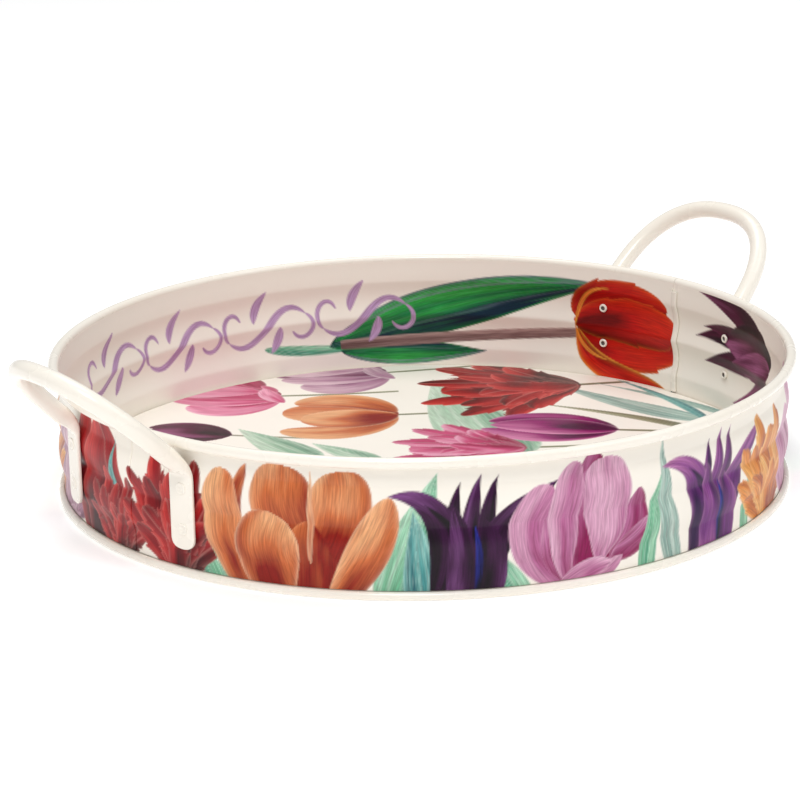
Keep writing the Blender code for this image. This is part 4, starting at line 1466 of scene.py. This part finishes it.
@dataclass
class Rivet:
    """A semi-tubular rivet: a dished head outside, and a rolled ring round a bare bore inside.

    seat is the radius, from the tray's axis, of the face that the head lies on, and grip the length
    from there to the clinch. The bore goes bore_depth past the clinch's seat, and narrows there to
    bore_taper of its radius.
    """

    node: str
    azimuth: float
    height: float
    seat: float
    grip: float = 0.00390
    head: float = 0.0031
    head_height: float = 0.0005
    dish: float = 0.00075
    shank: float = 0.0016
    clinch: float = 0.00245
    clinch_height: float = 0.0009
    bore: float = 0.0011
    bore_taper: float = 0.9
    bore_depth: float = 0.0004
    sides: int = 28

    def profile(self) -> np.ndarray:
        """(radius, outwards) from the head's middle round to the bore's blind end.

        The head is a soft round edge and a shallow dish; the clinch is a half circle from its
        outer edge to the bore.
        """
        edge = arc((self.head - self.head_height, 0.0), self.head_height, 90, 0, 6)
        dish = np.linspace(0.0, self.head - self.head_height, 8)[:-1]
        sunk = -self.dish * (1 - ease(0.0, self.head - self.head_height, dish))
        top = np.column_stack([dish, self.head_height + sunk])
        roll = (self.clinch - self.bore) / 2
        angle = np.linspace(0, -math.pi, 11)
        out, down = np.cos(angle), np.sin(angle)
        ring = np.column_stack([self.bore + roll + roll * out, -self.grip + self.clinch_height * down])
        body = [(self.shank, 0.0), (self.shank, -self.grip)]
        floor = -self.grip + self.bore_depth
        end = [(self.bore * self.bore_taper, floor), (0.0, floor)]
        return np.vstack([top, edge, body, ring, end])

    def build(self, bare: bpy.types.Material, painted: bpy.types.Material) -> bpy.types.Object:
        """Makes the rivet: its profile turned once round its axis.

        Args:
            bare: the bore's finish.
            painted: the finish of the rest.

        Returns:
            The piece, which stands for its CAD node.
        """
        line = self.profile()
        turn = np.linspace(0, 2 * math.pi, self.sides, endpoint=False)
        angle = math.radians(self.azimuth)
        out = np.array([math.cos(angle), math.sin(angle), 0.0])
        side, up = np.array([-math.sin(angle), math.cos(angle), 0.0]), np.array([0.0, 0.0, 1.0])
        round_it = np.cos(turn)[:, None] * side + np.sin(turn)[:, None] * up
        inner = line[1:-1]
        points = (
            out * self.seat + up * self.height
            + round_it[:, None, :] * inner[None, :, :1] + out * inner[None, :, 1:]
        )
        poles = out * self.seat + up * self.height + out * line[[0, -1], 1:]
        count = len(inner)
        index = np.arange(self.sides * count).reshape(self.sides, count)
        after = np.roll(index, -1, axis=0)
        quads = np.stack([index[:, :-1], index[:, 1:], after[:, 1:], after[:, :-1]], axis=-1)
        quads = quads.reshape(-1, 4)
        first = self.sides * count
        caps = [(first, int(a), int(b)) for a, b in zip(index[:, 0], after[:, 0])]
        caps += [(first + 1, int(b), int(a)) for a, b in zip(index[:, -1], after[:, -1])]
        shells = Shells()
        shells.add(np.vstack([points.reshape(-1, 3), poles]), quads.tolist() + caps)
        made = shells.piece(self.node + "_fine", 60.0)
        for material in (painted, bare):
            made.data.materials.append(material)
        slots = np.zeros(len(made.data.polygons), dtype=np.int32)
        slots[: len(quads)].reshape(self.sides, count - 1)[:, -3:] = 1
        slots[-self.sides:] = 1
        made.data.polygons.foreach_set("material_index", slots)
        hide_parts(self.node)
        return made


# --- studio ---------------------------------------------------------------------------------------


@dataclass(frozen=True)
class Lamp:
    """A square area lamp turned to the tray: azimuth in degrees, the rest in metres and watts."""

    name: str
    azimuth: float
    height: float
    away: float
    size: float
    watts: float


LAMPS = (
    Lamp("key", -138.0, 2.2, 1.45, 0.8, 27.0),
    Lamp("fill", -55.0, 2.0, 1.6, 1.2, 7.0),
    Lamp("top", 60.0, 2.4, 0.7, 1.4, 18.0),
)


@dataclass
class Studio:
    """A pale floor, soft lamps and the camera."""

    distance: float = 1.675
    azimuth: float = -130.36
    elevation: float = 18.238
    roll: float = -1.189
    aim: tuple[float, float, float] = (-0.0090, 0.0077, 0.0413)
    lens: float = 142.15
    floor_half: float = 6.0
    floor_height: float = -0.0002
    floor_tones: tuple[float, float] = (0.90, 0.93)
    floor_glow: float = 0.30
    sky_glow: float = 0.42
    lamp_aim: float = 0.03

    def build(self) -> None:
        """Makes the floor, the lamps, the sky and the camera."""
        self.floor()
        self.sky()
        self.lamps()
        self.camera()

    def floor(self) -> None:
        """A wide flat sheet a hair below the tray."""
        half, low = self.floor_half, self.floor_height
        mesh = bpy.data.meshes.new("studio_floor")
        corners = [(-half, -half, low), (half, -half, low), (half, half, low), (-half, half, low)]
        mesh.from_pydata(corners, [], [(0, 1, 2, 3)])
        tree = Tree.new("studio_floor_paint")
        cloud = tree.noise(tree.place(), 3.0, 2.0)
        tone = tree.mix(cloud, *((grey, grey, grey, 1.0) for grey in self.floor_tones))
        tree.feed(tree.shader.inputs["Base Color"], tone)
        tree.shader.inputs["Roughness"].default_value = 0.9
        tree.shader.inputs["Emission Color"].default_value = (1.0, 1.0, 1.0, 1.0)
        tree.shader.inputs["Emission Strength"].default_value = self.floor_glow
        mesh.materials.append(tree.material)
        floor = bpy.data.objects.new("studio_floor", mesh)
        bpy.context.scene.collection.objects.link(floor)

    def sky(self) -> None:
        """An even white surround."""
        world = bpy.data.worlds.new("studio_sky")
        world.use_nodes = True
        background = world.node_tree.nodes["Background"]
        background.inputs["Color"].default_value = (1.0, 1.0, 1.0, 1.0)
        background.inputs["Strength"].default_value = self.sky_glow
        bpy.context.scene.world = world

    def lamps(self) -> None:
        """Large area lamps: a key over the onlooker's left shoulder, a fill and a top light."""
        for lamp in LAMPS:
            light = bpy.data.lights.new(lamp.name, "AREA")
            light.energy, light.size = lamp.watts, lamp.size
            made = bpy.data.objects.new(lamp.name, light)
            angle = math.radians(lamp.azimuth)
            made.location = (math.cos(angle) * lamp.away, math.sin(angle) * lamp.away, lamp.height)
            away = Vector(made.location) - Vector((0, 0, self.lamp_aim))
            made.rotation_euler = away.to_track_quat("Z", "Y").to_euler()
            bpy.context.scene.collection.objects.link(made)

    def camera(self) -> None:
        """The camera, by distance, azimuth and elevation from the tray's middle, with a slight roll."""
        lens = bpy.data.cameras.new("camera")
        lens.lens, lens.sensor_width = self.lens, 36.0
        lens.clip_start, lens.clip_end = 0.05, 50.0
        made = bpy.data.objects.new("camera", lens)
        azimuth, elevation = math.radians(self.azimuth), math.radians(self.elevation)
        flat = math.cos(elevation)
        toward = (flat * math.cos(azimuth), flat * math.sin(azimuth), math.sin(elevation))
        where = Vector(toward) * self.distance
        look = (where - Vector(self.aim)).to_track_quat("Z", "Y").to_matrix().to_4x4()
        tilt = Matrix.Rotation(math.radians(self.roll), 4, "Z")
        made.matrix_world = Matrix.Translation(where) @ look @ tilt
        bpy.context.scene.collection.objects.link(made)
        bpy.context.scene.camera = made
        bpy.context.scene.view_settings.view_transform = "Standard"


# --- assembly -------------------------------------------------------------------------------------


def dress(made: bpy.types.Object, material: bpy.types.Material) -> None:
    """Gives a piece its one material."""
    made.data.materials.append(material)


def node_middle(name: str) -> Vector:
    """The middle of a CAD node's box."""
    low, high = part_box(name)
    return (Vector(low) + Vector(high)) / 2


def main() -> None:
    """Builds the tray, sub-assembly by sub-assembly, then the studio."""
    logging.basicConfig(level=logging.INFO, format="%(name)s %(message)s")
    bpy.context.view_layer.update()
    enamel = Enamel("cream_enamel").build()
    painted = Enamel("painted_rivet", roughness=(0.28, 0.40)).build()
    bare = BareTin("bare_tin").build()
    wall_print = Print("wall_print").build()
    floor_print = Print("floor_print", brush=0.22).build()
    for half in Half:
        dress(WallStrip(half).build(), enamel)
        for face in Face:
            dress(WallPrint(half, face).build(), wall_print)
    dress(BasePan().build(), enamel)
    for half in Half:
        dress(FloorPrint(half).build(), floor_print)
    handles = (Handle("right", 2.0), Handle("left", 178.4))
    for handle in handles:
        dress(handle.build(), enamel)
    seat = handles[0].foot_radius + handles[0].foot_thickness / 2
    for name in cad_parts:
        if name.startswith("rivet_"):
            centre = node_middle(name)
            azimuth = math.degrees(math.atan2(centre.y, centre.x))
            Rivet(name, azimuth, centre.z, seat).build(bare, painted)
    Studio().build()


if __name__ == "__main__":
    main()
